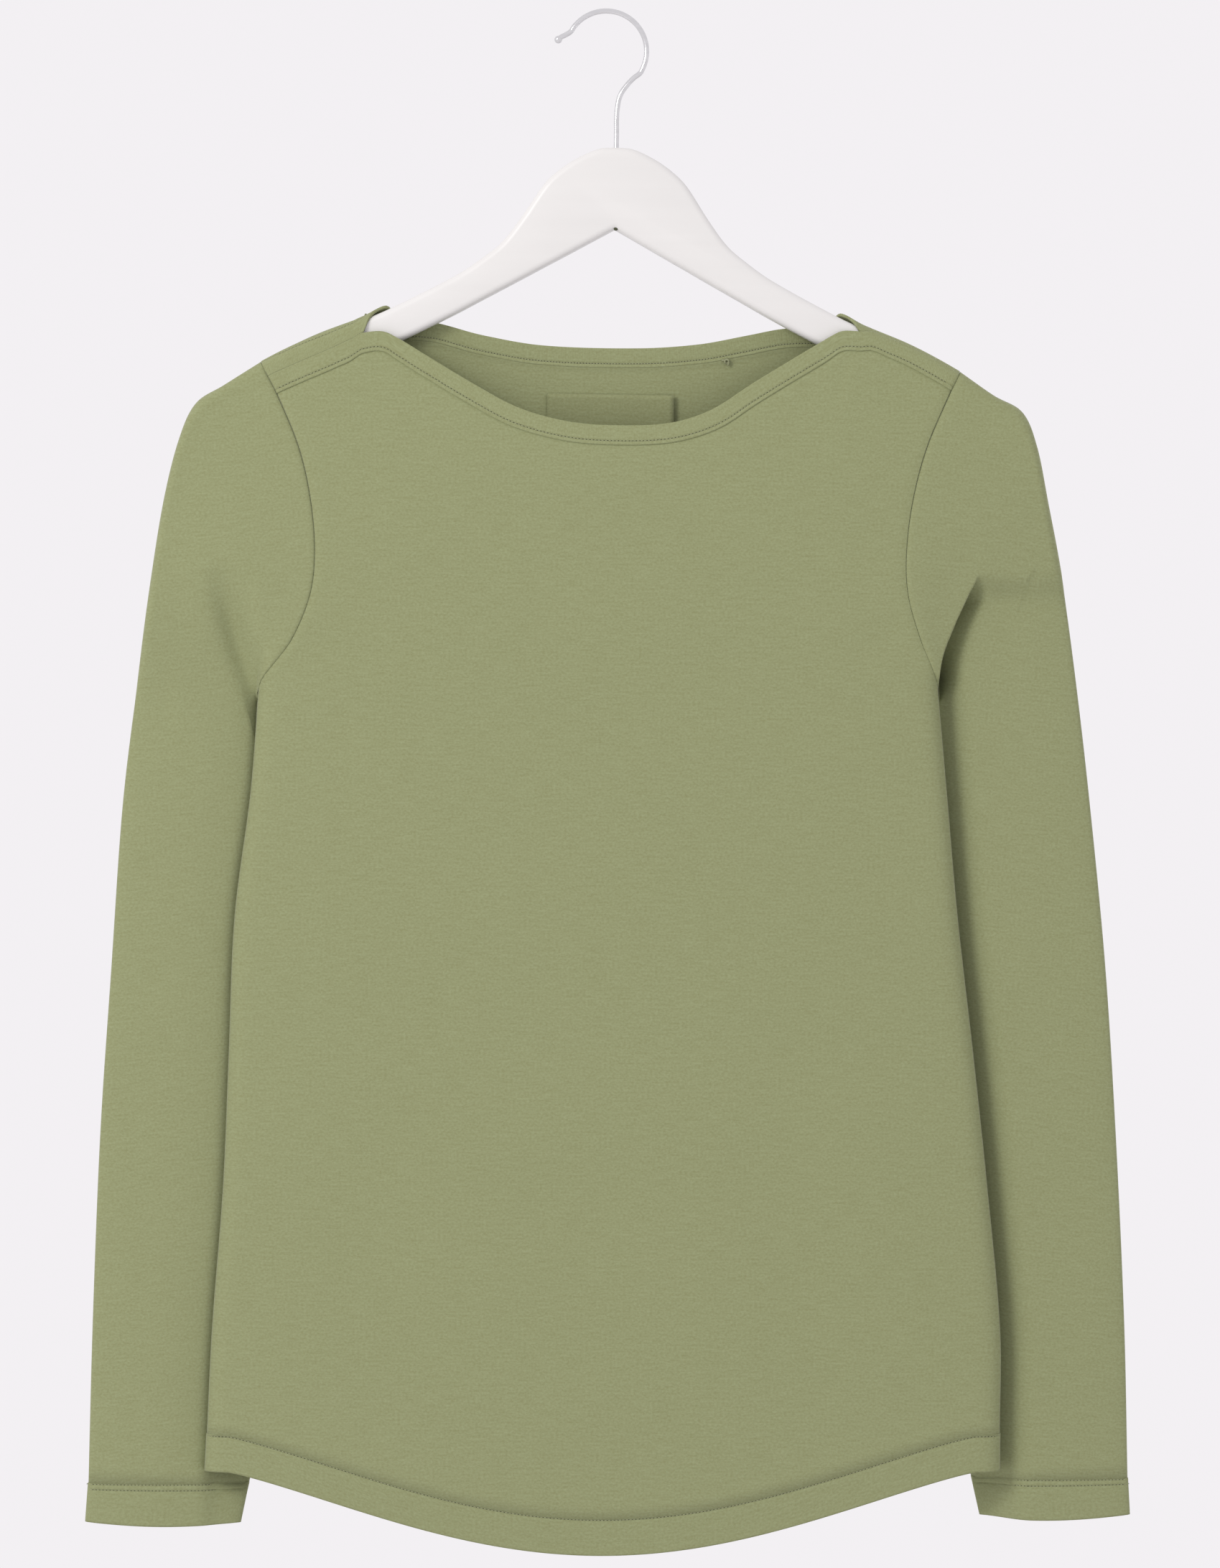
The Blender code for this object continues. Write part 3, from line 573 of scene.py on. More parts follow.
def jersey(name, color, seed, rib=0.0):
    """Knitted cotton: slubs across, fine wales, mottled colour and a fibre bloom."""
    material = bpy.data.materials.new(name)
    material.use_nodes = True
    shader = material.node_tree.nodes["Principled BSDF"]
    place = add_node(material, "ShaderNodeAttribute", attribute_name="cloth_place")
    slubs = stretched_noise(material, place, SLUB_SCALE, 5.0, seed)
    patches = stretched_noise(material, place, PATCHY_SCALE, 3.0, seed + 3.0)
    grain = stretched_noise(material, place, GRAIN_SCALE, 2.0, seed + 7.0)

    tone = add_node(material, "ShaderNodeMath", operation="MULTIPLY_ADD")
    tone.inputs[1].default_value = 0.5
    yarns = two_tones(material, times(color, DARK_YARN), times(color, LIGHT_YARN), YARN_RANGE)
    shade = two_tones(material, DULL_PATCH, CLEAN)
    mottled = add_node(material, "ShaderNodeMix", data_type="RGBA", blend_type="MULTIPLY")
    mottled.inputs["Factor"].default_value = 1.0
    height = add_node(material, "ShaderNodeMath", operation="ADD")
    bump = add_node(material, "ShaderNodeBump", Strength=0.3, Distance=0.0004)
    join(
        material,
        (slubs, "Fac", tone, 0),
        (grain, "Fac", tone, 2),
        (tone, "Value", yarns, "Fac"),
        (patches, "Fac", shade, "Fac"),
        (yarns, "Color", mottled, "A"),
        (shade, "Color", mottled, "B"),
        (mottled, "Result", shader, "Base Color"),
        (slubs, "Fac", height, 0),
        (grain, "Fac", height, 1),
        (height, "Value", bump, "Height"),
        (bump, "Normal", shader, "Normal"),
    )
    if rib:
        wales = add_node(material, "ShaderNodeTexWave", Scale=rib, Distortion=1.2, Detail=2.0)
        wales.bands_direction = "X"
        wales.inputs["Detail Scale"].default_value = 1.5
        faint = add_node(material, "ShaderNodeMath", operation="MULTIPLY")
        faint.inputs[1].default_value = RIB_SHARE
        both = add_node(material, "ShaderNodeMath", operation="ADD")
        join(
            material,
            (place, "Vector", wales, "Vector"),
            (wales, "Fac", faint, 0),
            (height, "Value", both, 0),
            (faint, "Value", both, 1),
            (both, "Value", bump, "Height"),
        )
    for name, value in JERSEY_FINISH.items():
        shader.inputs[name].default_value = value
    return material


SAGE = (0.262, 0.284, 0.148)
front_jersey = jersey("sage_jersey_front", SAGE, 1.0)
back_jersey = jersey("sage_jersey_back", SAGE, 21.0)
sleeve_jersey = {
    side: jersey(f"sage_jersey_{side}", SAGE, seed) for side, seed in (("left", 41.0), ("right", 61.0))
}
bound_jersey = jersey("sage_binding", (0.266, 0.288, 0.150), 81.0, rib=250.0)
turned_jersey = jersey("sage_turned_edge", (0.260, 0.282, 0.147), 101.0)
print("cloth materials:", [m.name for m in bpy.data.materials if m.name.startswith("sage")])


# %% Thread, paint and wire
def plain_material(name, color, roughness, metallic=0.0):
    material = bpy.data.materials.new(name)
    material.use_nodes = True
    shader = material.node_tree.nodes["Principled BSDF"]
    shader.inputs["Base Color"].default_value = (*color, 1.0)
    shader.inputs["Roughness"].default_value = roughness
    shader.inputs["Metallic"].default_value = metallic
    return material, shader


def varied(material, shader, color, spread, scale, bump, distance):
    """Small changes of colour and height from noise on the object's own coordinates."""
    place = add_node(material, "ShaderNodeTexCoord")
    mapping = add_node(material, "ShaderNodeMapping")
    mapping.inputs["Scale"].default_value = scale
    noise = add_node(material, "ShaderNodeTexNoise", Scale=1.0, Detail=4.0)
    darker, lighter = ([value * (1 + way * spread) for value in color] for way in (-1, 1))
    ramp = two_tones(material, darker, lighter, (0.3, 0.7))
    relief = add_node(material, "ShaderNodeBump", Strength=bump, Distance=distance)
    join(
        material,
        (place, "Object", mapping, "Vector"),
        (mapping, "Vector", noise, "Vector"),
        (noise, "Fac", ramp, "Fac"),
        (ramp, "Color", shader, "Base Color"),
        (noise, "Fac", relief, "Height"),
        (relief, "Normal", shader, "Normal"),
    )


THREAD_GREEN = (0.275, 0.290, 0.160)
thread, thread_shader = plain_material("green_thread", THREAD_GREEN, 0.7)
varied(thread, thread_shader, THREAD_GREEN, 0.12, (900.0, 900.0, 900.0), 0.2, 0.0001)
thread_shader.inputs["Sheen Weight"].default_value = 0.2

# A near-black olive that paints the shade inside needle holes and at the wire's foot.
hole_shade = plain_material("needle_hole_shade", (0.055, 0.060, 0.030), 0.9)[0]

PAINT_WHITE = (0.70, 0.69, 0.675)
paint, paint_shader = plain_material("white_satin_paint", PAINT_WHITE, 0.38)
varied(paint, paint_shader, PAINT_WHITE, 0.012, (9.0, 40.0, 120.0), 0.05, 0.0004)
paint_shader.inputs["Coat Weight"].default_value = 0.15
paint_shader.inputs["Coat Roughness"].default_value = 0.25

WIRE_GREY = (0.70, 0.70, 0.71)
wire_chrome, wire_shader = plain_material("chromed_wire", WIRE_GREY, 0.16, 1.0)
varied(wire_chrome, wire_shader, WIRE_GREY, 0.05, (60.0, 60.0, 400.0), 0.03, 0.0001)
print("thread, paint and wire are ready")

# %% [markdown]
# ## Front and back panels
# Real panels are cut flat and take their shape from the seams. Here the rows of a panel run
# from the neck binding down to the hem fold, and each row ends on the armhole seam or on
# the side seam. The rows lie close together near the shoulders, where the cloth turns over
# the hanger, and near the seams, where it dips.

# %% Places across and down a panel
EDGE_SHARES = [0.0, 0.0015, 0.004, 0.008, 0.013, 0.02, 0.03]
ACROSS = EDGE_SHARES + steps(0.04, 0.11, 8) + steps(0.12, 0.21, 30) + steps(0.22, 0.5, 28)
ACROSS = ACROSS + [1 - share for share in reversed(ACROSS[:-1])]
OFFSETS = {
    "front": [0.0, 0.8, 1.6, 2.6, 4.0, 6.5, 10.0],
    "back": [0.0, 0.8, 1.6, 2.6] + steps(3.9, 14.5, 8),
}
STRIP_PULL, STRIP_PULL_WIDTH = 0.45, 1.3
PANEL_STEPS = {"armhole": 40, "side": 56}
LAST_SHARE = 0.985
FIRST_SHARE = {"front": 0.24, "back": 0.13}
CREASE_ROWS = (  # face, start x and z, end x and z, half width, depth
    ("front", -127.0, -184.0, -112.0, -197.0, 3.5, 0.5),
    ("front", 131.0, -184.5, 117.5, -200.0, 3.5, 0.6),
    ("front", 122.0, -186.0, 104.0, -201.0, 4.5, 0.4),
    ("front", -119.0, -183.5, -98.0, -197.0, 4.5, 0.4),
    ("front", -160.0, -330.0, -120.0, -352.0, 9.0, 0.5),
    ("front", 160.0, -325.0, 128.0, -345.0, 9.0, 0.5),
    ("back", -150.0, -190.0, -110.0, -225.0, 7.0, 0.7),
    ("back", 152.0, -195.0, 116.0, -230.0, 7.0, 0.7),
    ("back", -170.0, -345.0, -120.0, -362.0, 9.0, 0.8),
    ("back", 165.0, -345.0, 118.0, -360.0, 9.0, 0.8),
    ("back", -60.0, -420.0, -75.0, -640.0, 26.0, 1.2),
    ("back", 70.0, -400.0, 88.0, -660.0, 26.0, 1.2),
    ("front", -120.0, -560.0, -128.0, -760.0, 30.0, 0.7),
    ("front", 95.0, -520.0, 108.0, -770.0, 30.0, 0.8),
)


CREASE_REACH, CREASE_FADE, CREASE_SPREAD = 0.2, 0.5, 3
SEAM_PULL, SEAM_PULL_WIDTH = 0.6, 2.4
SEAM_TURN, SEAM_TURN_WIDTH = 1.1, 0.35
SEAM_DIP_RUN = 12.0
RIDGE_CALM = 16.0


def crease_depth(x, z, face):
    """How deep the soft troughs are here; each fades towards both of its ends."""
    depth = 0.0
    for where, x0, z0, x1, z1, width, deep in CREASE_ROWS:
        if where != face:
            continue
        length = math.hypot(x1 - x0, z1 - z0)
        along = ((x - x0) * (x1 - x0) + (z - z0) * (z1 - z0)) / length**2
        aside = ((x - x0) * (z1 - z0) - (z - z0) * (x1 - x0)) / length
        if -CREASE_REACH < along < 1 + CREASE_REACH and abs(aside) < CREASE_SPREAD * width:
            fade = smooth_step((along + CREASE_REACH) / CREASE_FADE)
            fade *= smooth_step((1 + CREASE_REACH - along) / CREASE_FADE)
            depth += deep * fade * math.exp(-((aside / width) ** 2))
    return depth


def seam_dip(distance):
    """A seam pulls the cloth in a little, and its raw edges turn sharply inside."""
    pull = SEAM_PULL * math.exp(-((distance / SEAM_PULL_WIDTH) ** 2))
    return pull + SEAM_TURN * math.exp(-((distance / SEAM_TURN_WIDTH) ** 2))


def body_cloth(x, below, face):
    """The body's surface with its creases and the dip along the armhole seams."""
    point = cloth_point(x, below, face)
    if below < 0:
        face = "back" if face == "front" else "front"
    inward = crease_depth(point.x, point.z, face)
    if point.z > UNDERARM_Z:
        near = min(abs(point.x - seam_x(side, point.z, face)) for side in OUTWARD)
        inward += seam_dip(near) * smooth_step((point.z - UNDERARM_Z) / SEAM_DIP_RUN)
    inward *= smooth_step(abs(below) / RIDGE_CALM)
    return point + inwards(face, inward)


# %% The rows of a panel
def columns_along(line, face):
    """Where the columns of a sheet cross a line that runs from armhole to armhole."""
    ends = [body_edge(side, line, face)[0] - OUTWARD[side] * ARMHOLE_GAP / 2 for side in OUTWARD]
    return [mix(ends[0], ends[1], share) for share in ACROSS]


def panel_point(x, below, face):
    """The panel's surface, pulled in along the edge of the neck strip."""
    point = body_cloth(x, below, face)
    from_strip = below - panel_top(x, face) - TUCK_UNDER
    inward = STRIP_PULL * math.exp(-((from_strip / STRIP_PULL_WIDTH) ** 2))
    return point + inwards(face, inward)


def panel_rows(face):
    """Rows of points of a body panel, from its binding to its hem fold."""
    lines = []
    for offset in OFFSETS[face]:
        def line(x, offset=offset):
            return panel_top(x, face) + offset

        lines.append([(x, line(x)) for x in columns_along(line, face)])
    foot = {side: body_edge(side, lambda x: panel_bottom(x, face), face) for side in OUTWARD}
    starts = {"armhole": (FIRST_SHARE[face], LAST_SHARE), "side": (0.0, 1.0)}
    heights = [(part, share) for part in starts for share in steps(*starts[part], PANEL_STEPS[part])]
    for part, share in heights:
        ends = []
        for side in OUTWARD:
            if part == "armhole":
                x, _, z = armhole_point(side, share, face)
            else:
                z = mix(UNDERARM_Z, foot[side][1], share)
                x = side_x[side](z)
            top = panel_top(x, face)
            down = (below_at(x, z) - top) / (panel_bottom(x, face) - top)
            ends.append((x - OUTWARD[side] * ARMHOLE_GAP / 2, down))
        row = []
        for across in ACROSS:
            x, down = (mix(ends[0][i], ends[1][i], across) for i in (0, 1))
            row.append((x, mix(panel_top(x, face), panel_bottom(x, face), down)))
        lines.append(row)
    shift = inwards(face, -SIDE_GAP / 2)
    points = [[panel_point(x, below, face) + shift for x, below in row] for row in lines]
    return points, [[(x, ridge_z(x) - below) for x, below in row] for row in lines]


def make_panel(face, material):
    points, places = panel_rows(face)
    return cloth_sheet(f"shirt_body_{face}", points, CLOTH, material, places)


shirt_front = make_panel("front", front_jersey)
shirt_back = make_panel("back", back_jersey)

# %% [markdown]
# ## Neck binding and hem
# The neck edge is finished with a folded strip of the same jersey, so it stands a little
# proud of the panel and shows its yarns across the strip. The hem is the panel turned up
# twenty millimetres inside, which also makes it thicker. Both are sheets that carry on
# from the panel's edge, a hair away from it.


# %% Neck binding
STITCH_SHARE = 0.79
STITCH_GROOVE, GROOVE_WIDTH = 0.45, 0.5
STRIP_SHARES = [0.0, 0.06, 0.14, 0.26, 0.4, 0.54, 0.66, 0.71, 0.745, 0.77, 0.79]
STRIP_SHARES += [0.81, 0.835, 0.87, 0.93, 1.0]


def stitch_groove(distance):
    """Depth of the groove that a row of stitches pulls, at a distance from the row."""
    return STITCH_GROOVE * math.exp(-((distance / GROOVE_WIDTH) ** 2))


def binding_point(x, share, face):
    """A point of the strip; its topstitching lies in a groove that the thread pulls in."""
    below = top_below(x, face) + share * strip_below(x, face)
    groove = stitch_groove((share - STITCH_SHARE) * BINDING_WIDTH)
    return body_cloth(x, below, face) + Vector((0.0, groove, 0.0)), below


def strip_place(x, share, face):
    """Place on the flat strip, so that its ribs run square across it."""
    slant = math.atan(edge_slope(x, face))
    return x / math.cos(slant) - share * strip_below(x, face) * math.sin(slant), share * BINDING_WIDTH


def make_binding(face):
    rows, places = [], []
    for share in STRIP_SHARES:
        def line(x, share=share):
            return binding_point(x, share, face)[1]

        columns = columns_along(line, face)
        rows.append([binding_point(x, share, face)[0] for x in columns])
        places.append([strip_place(x, share, face) for x in columns])
    return cloth_sheet(f"neck_strip_{face}", rows, DOUBLED, bound_jersey, places)


strip_front = make_binding("front")
strip_back = make_binding("back")


# %% Hem
HEM_INSET, HEM_STITCH_INSET = 0.1, 1.0
HEM_HEIGHTS = (20.0, 19.6, 19.25, 19.0, 18.75, 18.4, 17.8, 16.0, 13.0, 9.5, 6.0, 3.0, 1.2, 0.0)


def hem_point(x, height, face):
    shift = inwards(face, stitch_groove(height - HEM_DEPTH + HEM_STITCH_INSET) + HEM_INSET)
    return body_cloth(x, below_at(x, hem_z(x, face) + height), face) + shift


def make_hem(face):
    rows, places = [], []
    for height in HEM_HEIGHTS:
        z = HEM_CORNER_Z + height
        columns = [mix(side_x["left"](z), side_x["right"](z), across) for across in ACROSS]
        rows.append([hem_point(x, height, face) for x in columns])
        places.append([(x, -height) for x in columns])
    return cloth_sheet(f"turned_hem_{face}", rows, DOUBLED, turned_jersey, places)


hem_front = make_hem("front")
hem_back = make_hem("back")

# %% [markdown]
# ## Sleeves and cuffs
# A sleeve is a tube. Its first ring is the armhole seam, and its later rings close in to
# the cuff while they swing down beside the body. Near the underarm the cloth folds back
# on itself and passes behind the body's side, which leaves a soft trough on one side of
# the shirt and a sharp, shaded fold on the other.

# %% Shape of a sleeve
sleeve_lines = {}
for side in OUTWARD:
    count = len(SLEEVE_ROWS[side]) - 1
    knots = [i / count for i in range(count + 1)]
    sleeve_lines[side] = {
        name: smooth_through(knots, [row[i] for row in SLEEVE_ROWS[side]])
        for i, name in enumerate(SLEEVE_COLUMNS)
    }


def armhole_ring(side, across, face):
    """A point on the sleeve's edge where it meets the body, just outside the seam."""
    x, y, z = armhole_point(side, across, face)
    clear = ARMHOLE_GAP / 2 + UNDERARM_CLEARANCE * smooth_step((CLEARANCE_START_Z - z) / CLEARANCE_RUN)
    return Vector((x + OUTWARD[side] * clear, y if across < 1 else 0.0, z))


def behind_body(inside):
    """How far back the body's own back stands at a distance in from its side."""
    deeper = BEHIND_EXTRA * (1 - math.exp(-max(inside, 0.0) / BEHIND_EXTRA_RUN))
    return ARCH_RADIUS * smooth_step((inside + BEHIND_START) / BEHIND_RUN) + deeper


def hanging_y(side, x, z, face, swell):
    """Depth of a sleeve that hangs free: close behind the body at the left, deep at the right."""
    line = fold_x[side](z) if z > UNDERARM_Z else side_x[side](z)
    inside = (line - x) * OUTWARD[side]
    if side == "left":
        lower = smooth_step((UNDERARM_Z + LOWER_LIFT - z) / LOWER_RUN)
        lower *= 1 - CUFF_EASE * smooth_step((CUFF_EASE_START_Z - z) / CUFF_EASE_RUN)
        near = smooth_step((inside + SLEEVE_NEAR_RUN) / SLEEVE_NEAR_RUN)
        base = mix(SLEEVE_OUT_Y, SLEEVE_NEAR_Y, near) + behind_body(inside) * lower
    else:
        tuck = smooth_step((inside + SLEEVE_TUCK_START) / SLEEVE_TUCK)
        passed = smooth_step((SLEEVE_BEHIND_START_Z - z) / SLEEVE_BEHIND_RUN)
        behind = mix(SLEEVE_SIDE_Y, SLEEVE_BEHIND_Y, passed)
        base = mix(SLEEVE_OUT_Y, behind, tuck) + SLEEVE_SPREAD * max(inside, 0.0)
    way = -1 if face == "front" else 1
    return base + SLEEVE_HALF_DEPTH * (1 + way * swell)


def over_arch(below):
    """Share of the arch's depth that the cloth has at a distance below the ridge."""
    short = 1 - min(below / ARCH_RADIUS, 1.0)
    return math.sqrt(max(1 - short * short, 0.0))


def tube_swell(across):
    """Share of a flat tube's half depth between its outer edge at 0 and inner edge at 1."""
    return (2 * math.sqrt(across * (1 - across))) ** (2 / ROUNDNESS)


def bell(distance, width):
    """A smooth hump: 1 in its middle and next to nothing two widths away."""
    return math.exp(-((distance / width) ** 2))


def cap_depth(face, x, z, width, across):
    """How far the sleeve's upper part stands from the hanger's plane: its arch and its slack."""
    swell = tube_swell(across)
    arch = over_arch(across * width) * over_arch((1 - across) * width)
    cap = ARCH_RADIUS * arch + fullness(x, z, face)[1] * swell
    return (-cap if face == "front" else cap), arch


def section_point(side, ring, share, across):
    """Where the sleeve's outline puts a point: bent like the armhole first, then straight."""
    lines = sleeve_lines[side]
    outer, inner, top, underarm = (
        (lines[edge + "_x"](at), lines[edge + "_z"](at))
        for at in (share, 0)
        for edge in ("outer", "inner")
    )
    kept = 1 - smooth_step(share / (BOW_FADE - BOW_FADE_NARROWING * across))
    x = mix(outer[0], inner[0], across) + kept * (ring.x - mix(top[0], underarm[0], across))
    z = mix(outer[1], inner[1], across) + kept * (ring.z - mix(top[1], underarm[1], across))
    leaving = share * SLEEVE_REACH * (1 - smooth_step(share / LEAVE_FADE))
    leaving *= smooth_step((across - LEAVE_FROM) / LEAVE_RUN)
    leaving *= min((1 - across) / LEAVE_EDGE, 1.0)
    x += OUTWARD[side] * leaving * LEAVE_OUT
    z += leaving * LEAVE_UP
    return x, z, math.dist(outer, inner), math.dist(top, underarm)


def sleeve_point(side, ring, share, across, face):
    """A point of the sleeve: sewn like the shoulder at first, then hanging free."""
    x, z, width, ring_width = section_point(side, ring, share, across)
    way = -1 if face == "front" else 1
    cap, arch = cap_depth(face, x, z, width, across)
    ring_cap = cap_depth(face, ring.x, ring.z, ring_width, across)[0]
    cap += (1 - smooth_step(share / RING_FADE)) * (ring.y - ring_cap)

    from_seam = (x - seam_x(side, z, face)) * OUTWARD[side]
    falling = smooth_step((FALL_START[side] - z) / FALL_RUN) * smooth_step(from_seam / FALL_WIDTH)
    past_fold = (x - fold_x[side](z)) * OUTWARD[side]
    start, run = FOLD_START[side]
    lead, fold_width = FOLD_STEP[side, face]
    folded = smooth_step((start - z) / run) * smooth_step((past_fold + lead) / fold_width)
    under = smooth_step((UNDERARM_Z + UNDER_LIFT - z) / UNDER_RUN)
    near_seam = smooth_step(share / SEAM_FADE[side])
    hangs = (1 - (1 - falling) * (1 - folded) * (1 - under)) * near_seam
    dip = -way * seam_dip(share * SLEEVE_REACH)
    dip *= smooth_step(across * DIP_FADE) * smooth_step((1 - across) * DIP_FADE)
    if side == "left" and face == "front":
        trough = TROUGH_DEPTH * bell(past_fold - TROUGH_SHIFT, TROUGH_WIDTH)
        trough *= smooth_step((TROUGH_START_Z - z) / TROUGH_RUN) * (1 - under)
        dip += trough * near_seam * arch
    if side == "right":
        slot = SLOT_DEPTH * bell(past_fold, SLOT_WIDTH) * folded * arch
        dip += slot * SLOT_SHARE[face] * (1 - under)
    if side == "right" and face == "front":
        tucked = folded * bell(past_fold, OVERLAP_WIDTH)
        x -= OVERLAP * tucked * smooth_step((z - OVERLAP_END_Z) / OVERLAP_RUN)
    depth = hanging_y(side, x, z, face, tube_swell(across))
    return Vector((x, mix(cap, depth, hangs) + dip, z))


# %% Make the sleeves
RING = [0.0, 0.006, 0.013, 0.021, 0.031, 0.043, 0.057, 0.074, 0.095] + steps(0.12, 0.88, 26)
RING += [0.905, 0.925, 0.943, 0.958, 0.97, 0.98, 0.989, 0.996, 1.0]
ROUND = [(across, "front") for across in RING] + [(across, "back") for across in reversed(RING[:-1])]
SLEEVE_SHARES = [0.0, 0.003, 0.007, 0.012, 0.018] + steps(0.025, 0.3, 44) + steps(0.31, 1.0, 60)


RING_SAMPLES = 300


def around_tube(s):
    """Place across and face from a place round the tube: 0 to 1 in front, 1 to 2 behind."""
    return min(s, 2.0 - s), "front" if s <= 1 else "back"


def ring_curve(side):
    """The armhole ring by its place round the tube."""
    ring = [armhole_ring(side, *around_tube(s)) for s in steps(0.0, 2.0, 2 * RING_SAMPLES)]

    def ring_at(s):
        i = min(int(s * RING_SAMPLES), 2 * RING_SAMPLES - 1)
        return ring[i].lerp(ring[i + 1], s * RING_SAMPLES - i)

    return ring_at


SLEEVE_LEAN = 0.10
FINE_CUTS = 4
FINE_PATCH = {"low": -368, "high": -286, "inside": -14, "outside": 30}
FRONT_END = 0.999
RELAX_PATCH = {"low": -380, "high": -300, "outside": -232, "inside": -186}
RELAX_FROM, RELAX_EDGE, RELAX_ROUNDS = 0.02, 0.01, 10


def straighten_rim(bm, coarse):
    """Where fine faces meet coarse ones, the added points go straight between the old corners."""
    bm.verts.index_update()
    for face in bm.faces:
        ring = list(face.verts)
        corners = [i for i, vert in enumerate(ring) if vert.index < coarse]
        if len(ring) < 5 or len(corners) < 2:
            continue
        for first, last in zip(corners, corners[1:] + [corners[0] + len(ring)]):
            for i in range(first + 1, last):
                start, end = ring[first].co, ring[last % len(ring)].co
                ring[i % len(ring)].co = start.lerp(end, (i - first) / (last - first))


def make_sleeve(side):
    """A grid that keeps its place on the sleeve, refined along the sharp fold, then shaped."""
    bm = bmesh.new()
    place = bm.verts.layers.float_vector.new("cloth_place")
    on_tube = bm.verts.layers.float_vector.new("on_tube")
    ordered = ordered_grid(bm, len(ROUND), len(SLEEVE_SHARES))
    rounds = [across if face == "front" else 2.0 - across for across, face in ROUND]
    spots = [(share, s) for share in SLEEVE_SHARES for s in rounds]
    for vert, (share, s) in zip(ordered, spots):
        vert[on_tube] = Vector((share, s, 0.0))
    ring_at = ring_curve(side)

    def shape():
        for vert in bm.verts:
            share, s, _ = vert[on_tube]
            vert.co = sleeve_point(side, ring_at(s), share, *around_tube(s)) * MM
            lean = SLEEVE_LEAN * OUTWARD[side]
            level = vert.co.z + vert.co.x * lean
            vert[place] = Vector((vert.co.x - vert.co.z * lean, level, 0.0))

    def by_fold(vert):
        x, z = vert.co.x / MM, vert.co.z / MM
        past_fold = x - fold_x["right"](z)
        in_patch = FINE_PATCH["low"] < z < FINE_PATCH["high"]
        in_patch = in_patch and FINE_PATCH["inside"] < past_fold < FINE_PATCH["outside"]
        return in_patch and vert[on_tube].y < FRONT_END

    def in_crease(vert):
        x, z = vert.co.x / MM, vert.co.z / MM
        in_patch = RELAX_PATCH["low"] < z < RELAX_PATCH["high"]
        in_patch = in_patch and RELAX_PATCH["outside"] < x < RELAX_PATCH["inside"]
        share, s, _ = vert[on_tube]
        return in_patch and share > RELAX_FROM and RELAX_EDGE < s < 1 - RELAX_EDGE

    shape()
    if side == "left":
        creased = [vert for vert in bm.verts if in_crease(vert)]
        axes = {"use_axis_x": True, "use_axis_y": True, "use_axis_z": True}
        for _ in range(RELAX_ROUNDS):
            bmesh.ops.smooth_vert(bm, verts=creased, factor=0.5, **axes)
    else:
        coarse = len(bm.verts)
        close = [edge for edge in bm.edges if by_fold(edge.verts[0]) and by_fold(edge.verts[1])]
        bmesh.ops.subdivide_edges(bm, edges=close, cuts=FINE_CUTS, use_grid_fill=True)
        shape()
        straighten_rim(bm, coarse)
    bmesh.ops.remove_doubles(bm, verts=bm.verts, dist=SAME_PLACE)
    bmesh.ops.recalc_face_normals(bm, faces=bm.faces)
    piece = finish_mesh(f"shirt_sleeve_{side}", bm, sleeve_jersey[side], sharp=75)
    add_wall(piece, CLOTH)
    print(f"{piece.name}: {len(piece.data.vertices)} points")
    return piece


sleeve_left = make_sleeve("left")
sleeve_right = make_sleeve("right")


# %% Make the cuffs
CUFF_STITCHES = (0.03, 0.165)
CUFF_SHARES = [0.0, 0.015, 0.03, 0.045, 0.07, 0.11, 0.145, 0.165, 0.185]
CUFF_SHARES += [0.22, 0.3, 0.45, 0.65, 0.82, 0.94, 1.0]
CUFF_ROUND = 180.0
CUFF_EDGE_FADE = 0.03


def cuff_point(side, share, across, face):
    """A point of the cuff, from its seam at 0 to the sleeve's open end at 1."""
    seam = [sleeve_lines[side][name](1.0) for name in SLEEVE_COLUMNS]
    section = [mix(a, b, share) for a, b in zip(seam, CUFF_END[side])]
    x = mix(section[0], section[2], across)
    z = mix(section[1], section[3], across)
    way = 1 if face == "front" else -1
    groove = way * sum(stitch_groove((share - row) * HEM_DEPTH) for row in CUFF_STITCHES)
    groove *= smooth_step(across / CUFF_EDGE_FADE) * smooth_step((1 - across) / CUFF_EDGE_FADE)
    z -= CUFF_SAG * share * math.sin(math.pi * across) - (1 - share) * TUCK_UNDER
    return Vector((x, hanging_y(side, x, z, face, tube_swell(across)) + groove, z))


def make_cuff(side):
    rows, places = [], []
    for share in CUFF_SHARES:
        rows.append([cuff_point(side, share, across, face) for across, face in ROUND])
        places.append([(i / len(ROUND) * CUFF_ROUND, share * HEM_DEPTH) for i in range(len(ROUND))])
    return cloth_sheet(f"turned_cuff_{side}", rows, DOUBLED, turned_jersey, places, tube=True)


cuff_left = make_cuff("left")
cuff_right = make_cuff("right")

# %% [markdown]
# ## The patch in the neck
# A small rectangle of smooth cloth is sewn inside the back neck. It is left blank. Its
# right edge lifts a little from the back and casts a fine shadow.

# %% Neck patch
PATCH = {"left": -32.0, "width": 68.0, "top": 50.0, "height": 28.0, "standoff": 1.3, "lift": 1.5}
PATCH_CLOTH = 0.6
PATCH_LIFT_FROM, PATCH_LIFT_RUN = 0.75, 0.25


def patch_point(across, down):
    x = PATCH["left"] + PATCH["width"] * across
    point = cloth_point(x, PATCH["top"] + PATCH["height"] * down, "back")
    lift = PATCH["lift"] * smooth_step((across - PATCH_LIFT_FROM) / PATCH_LIFT_RUN)
    return point - Vector((0.0, PATCH["standoff"] + lift, 0.0))


def make_patch():
    shares, downs = steps(0.0, 1.0, 24), steps(0.0, 1.0, 12)
    rows = [[patch_point(across, down) for across in shares] for down in downs]
    places = [[(across * PATCH["width"], down * PATCH["height"]) for across in shares] for down in downs]
    cloth = jersey("sage_patch", (0.245, 0.264, 0.136), 121.0)
    return cloth_sheet("blank_neck_patch", rows, PATCH_CLOTH, cloth, places)


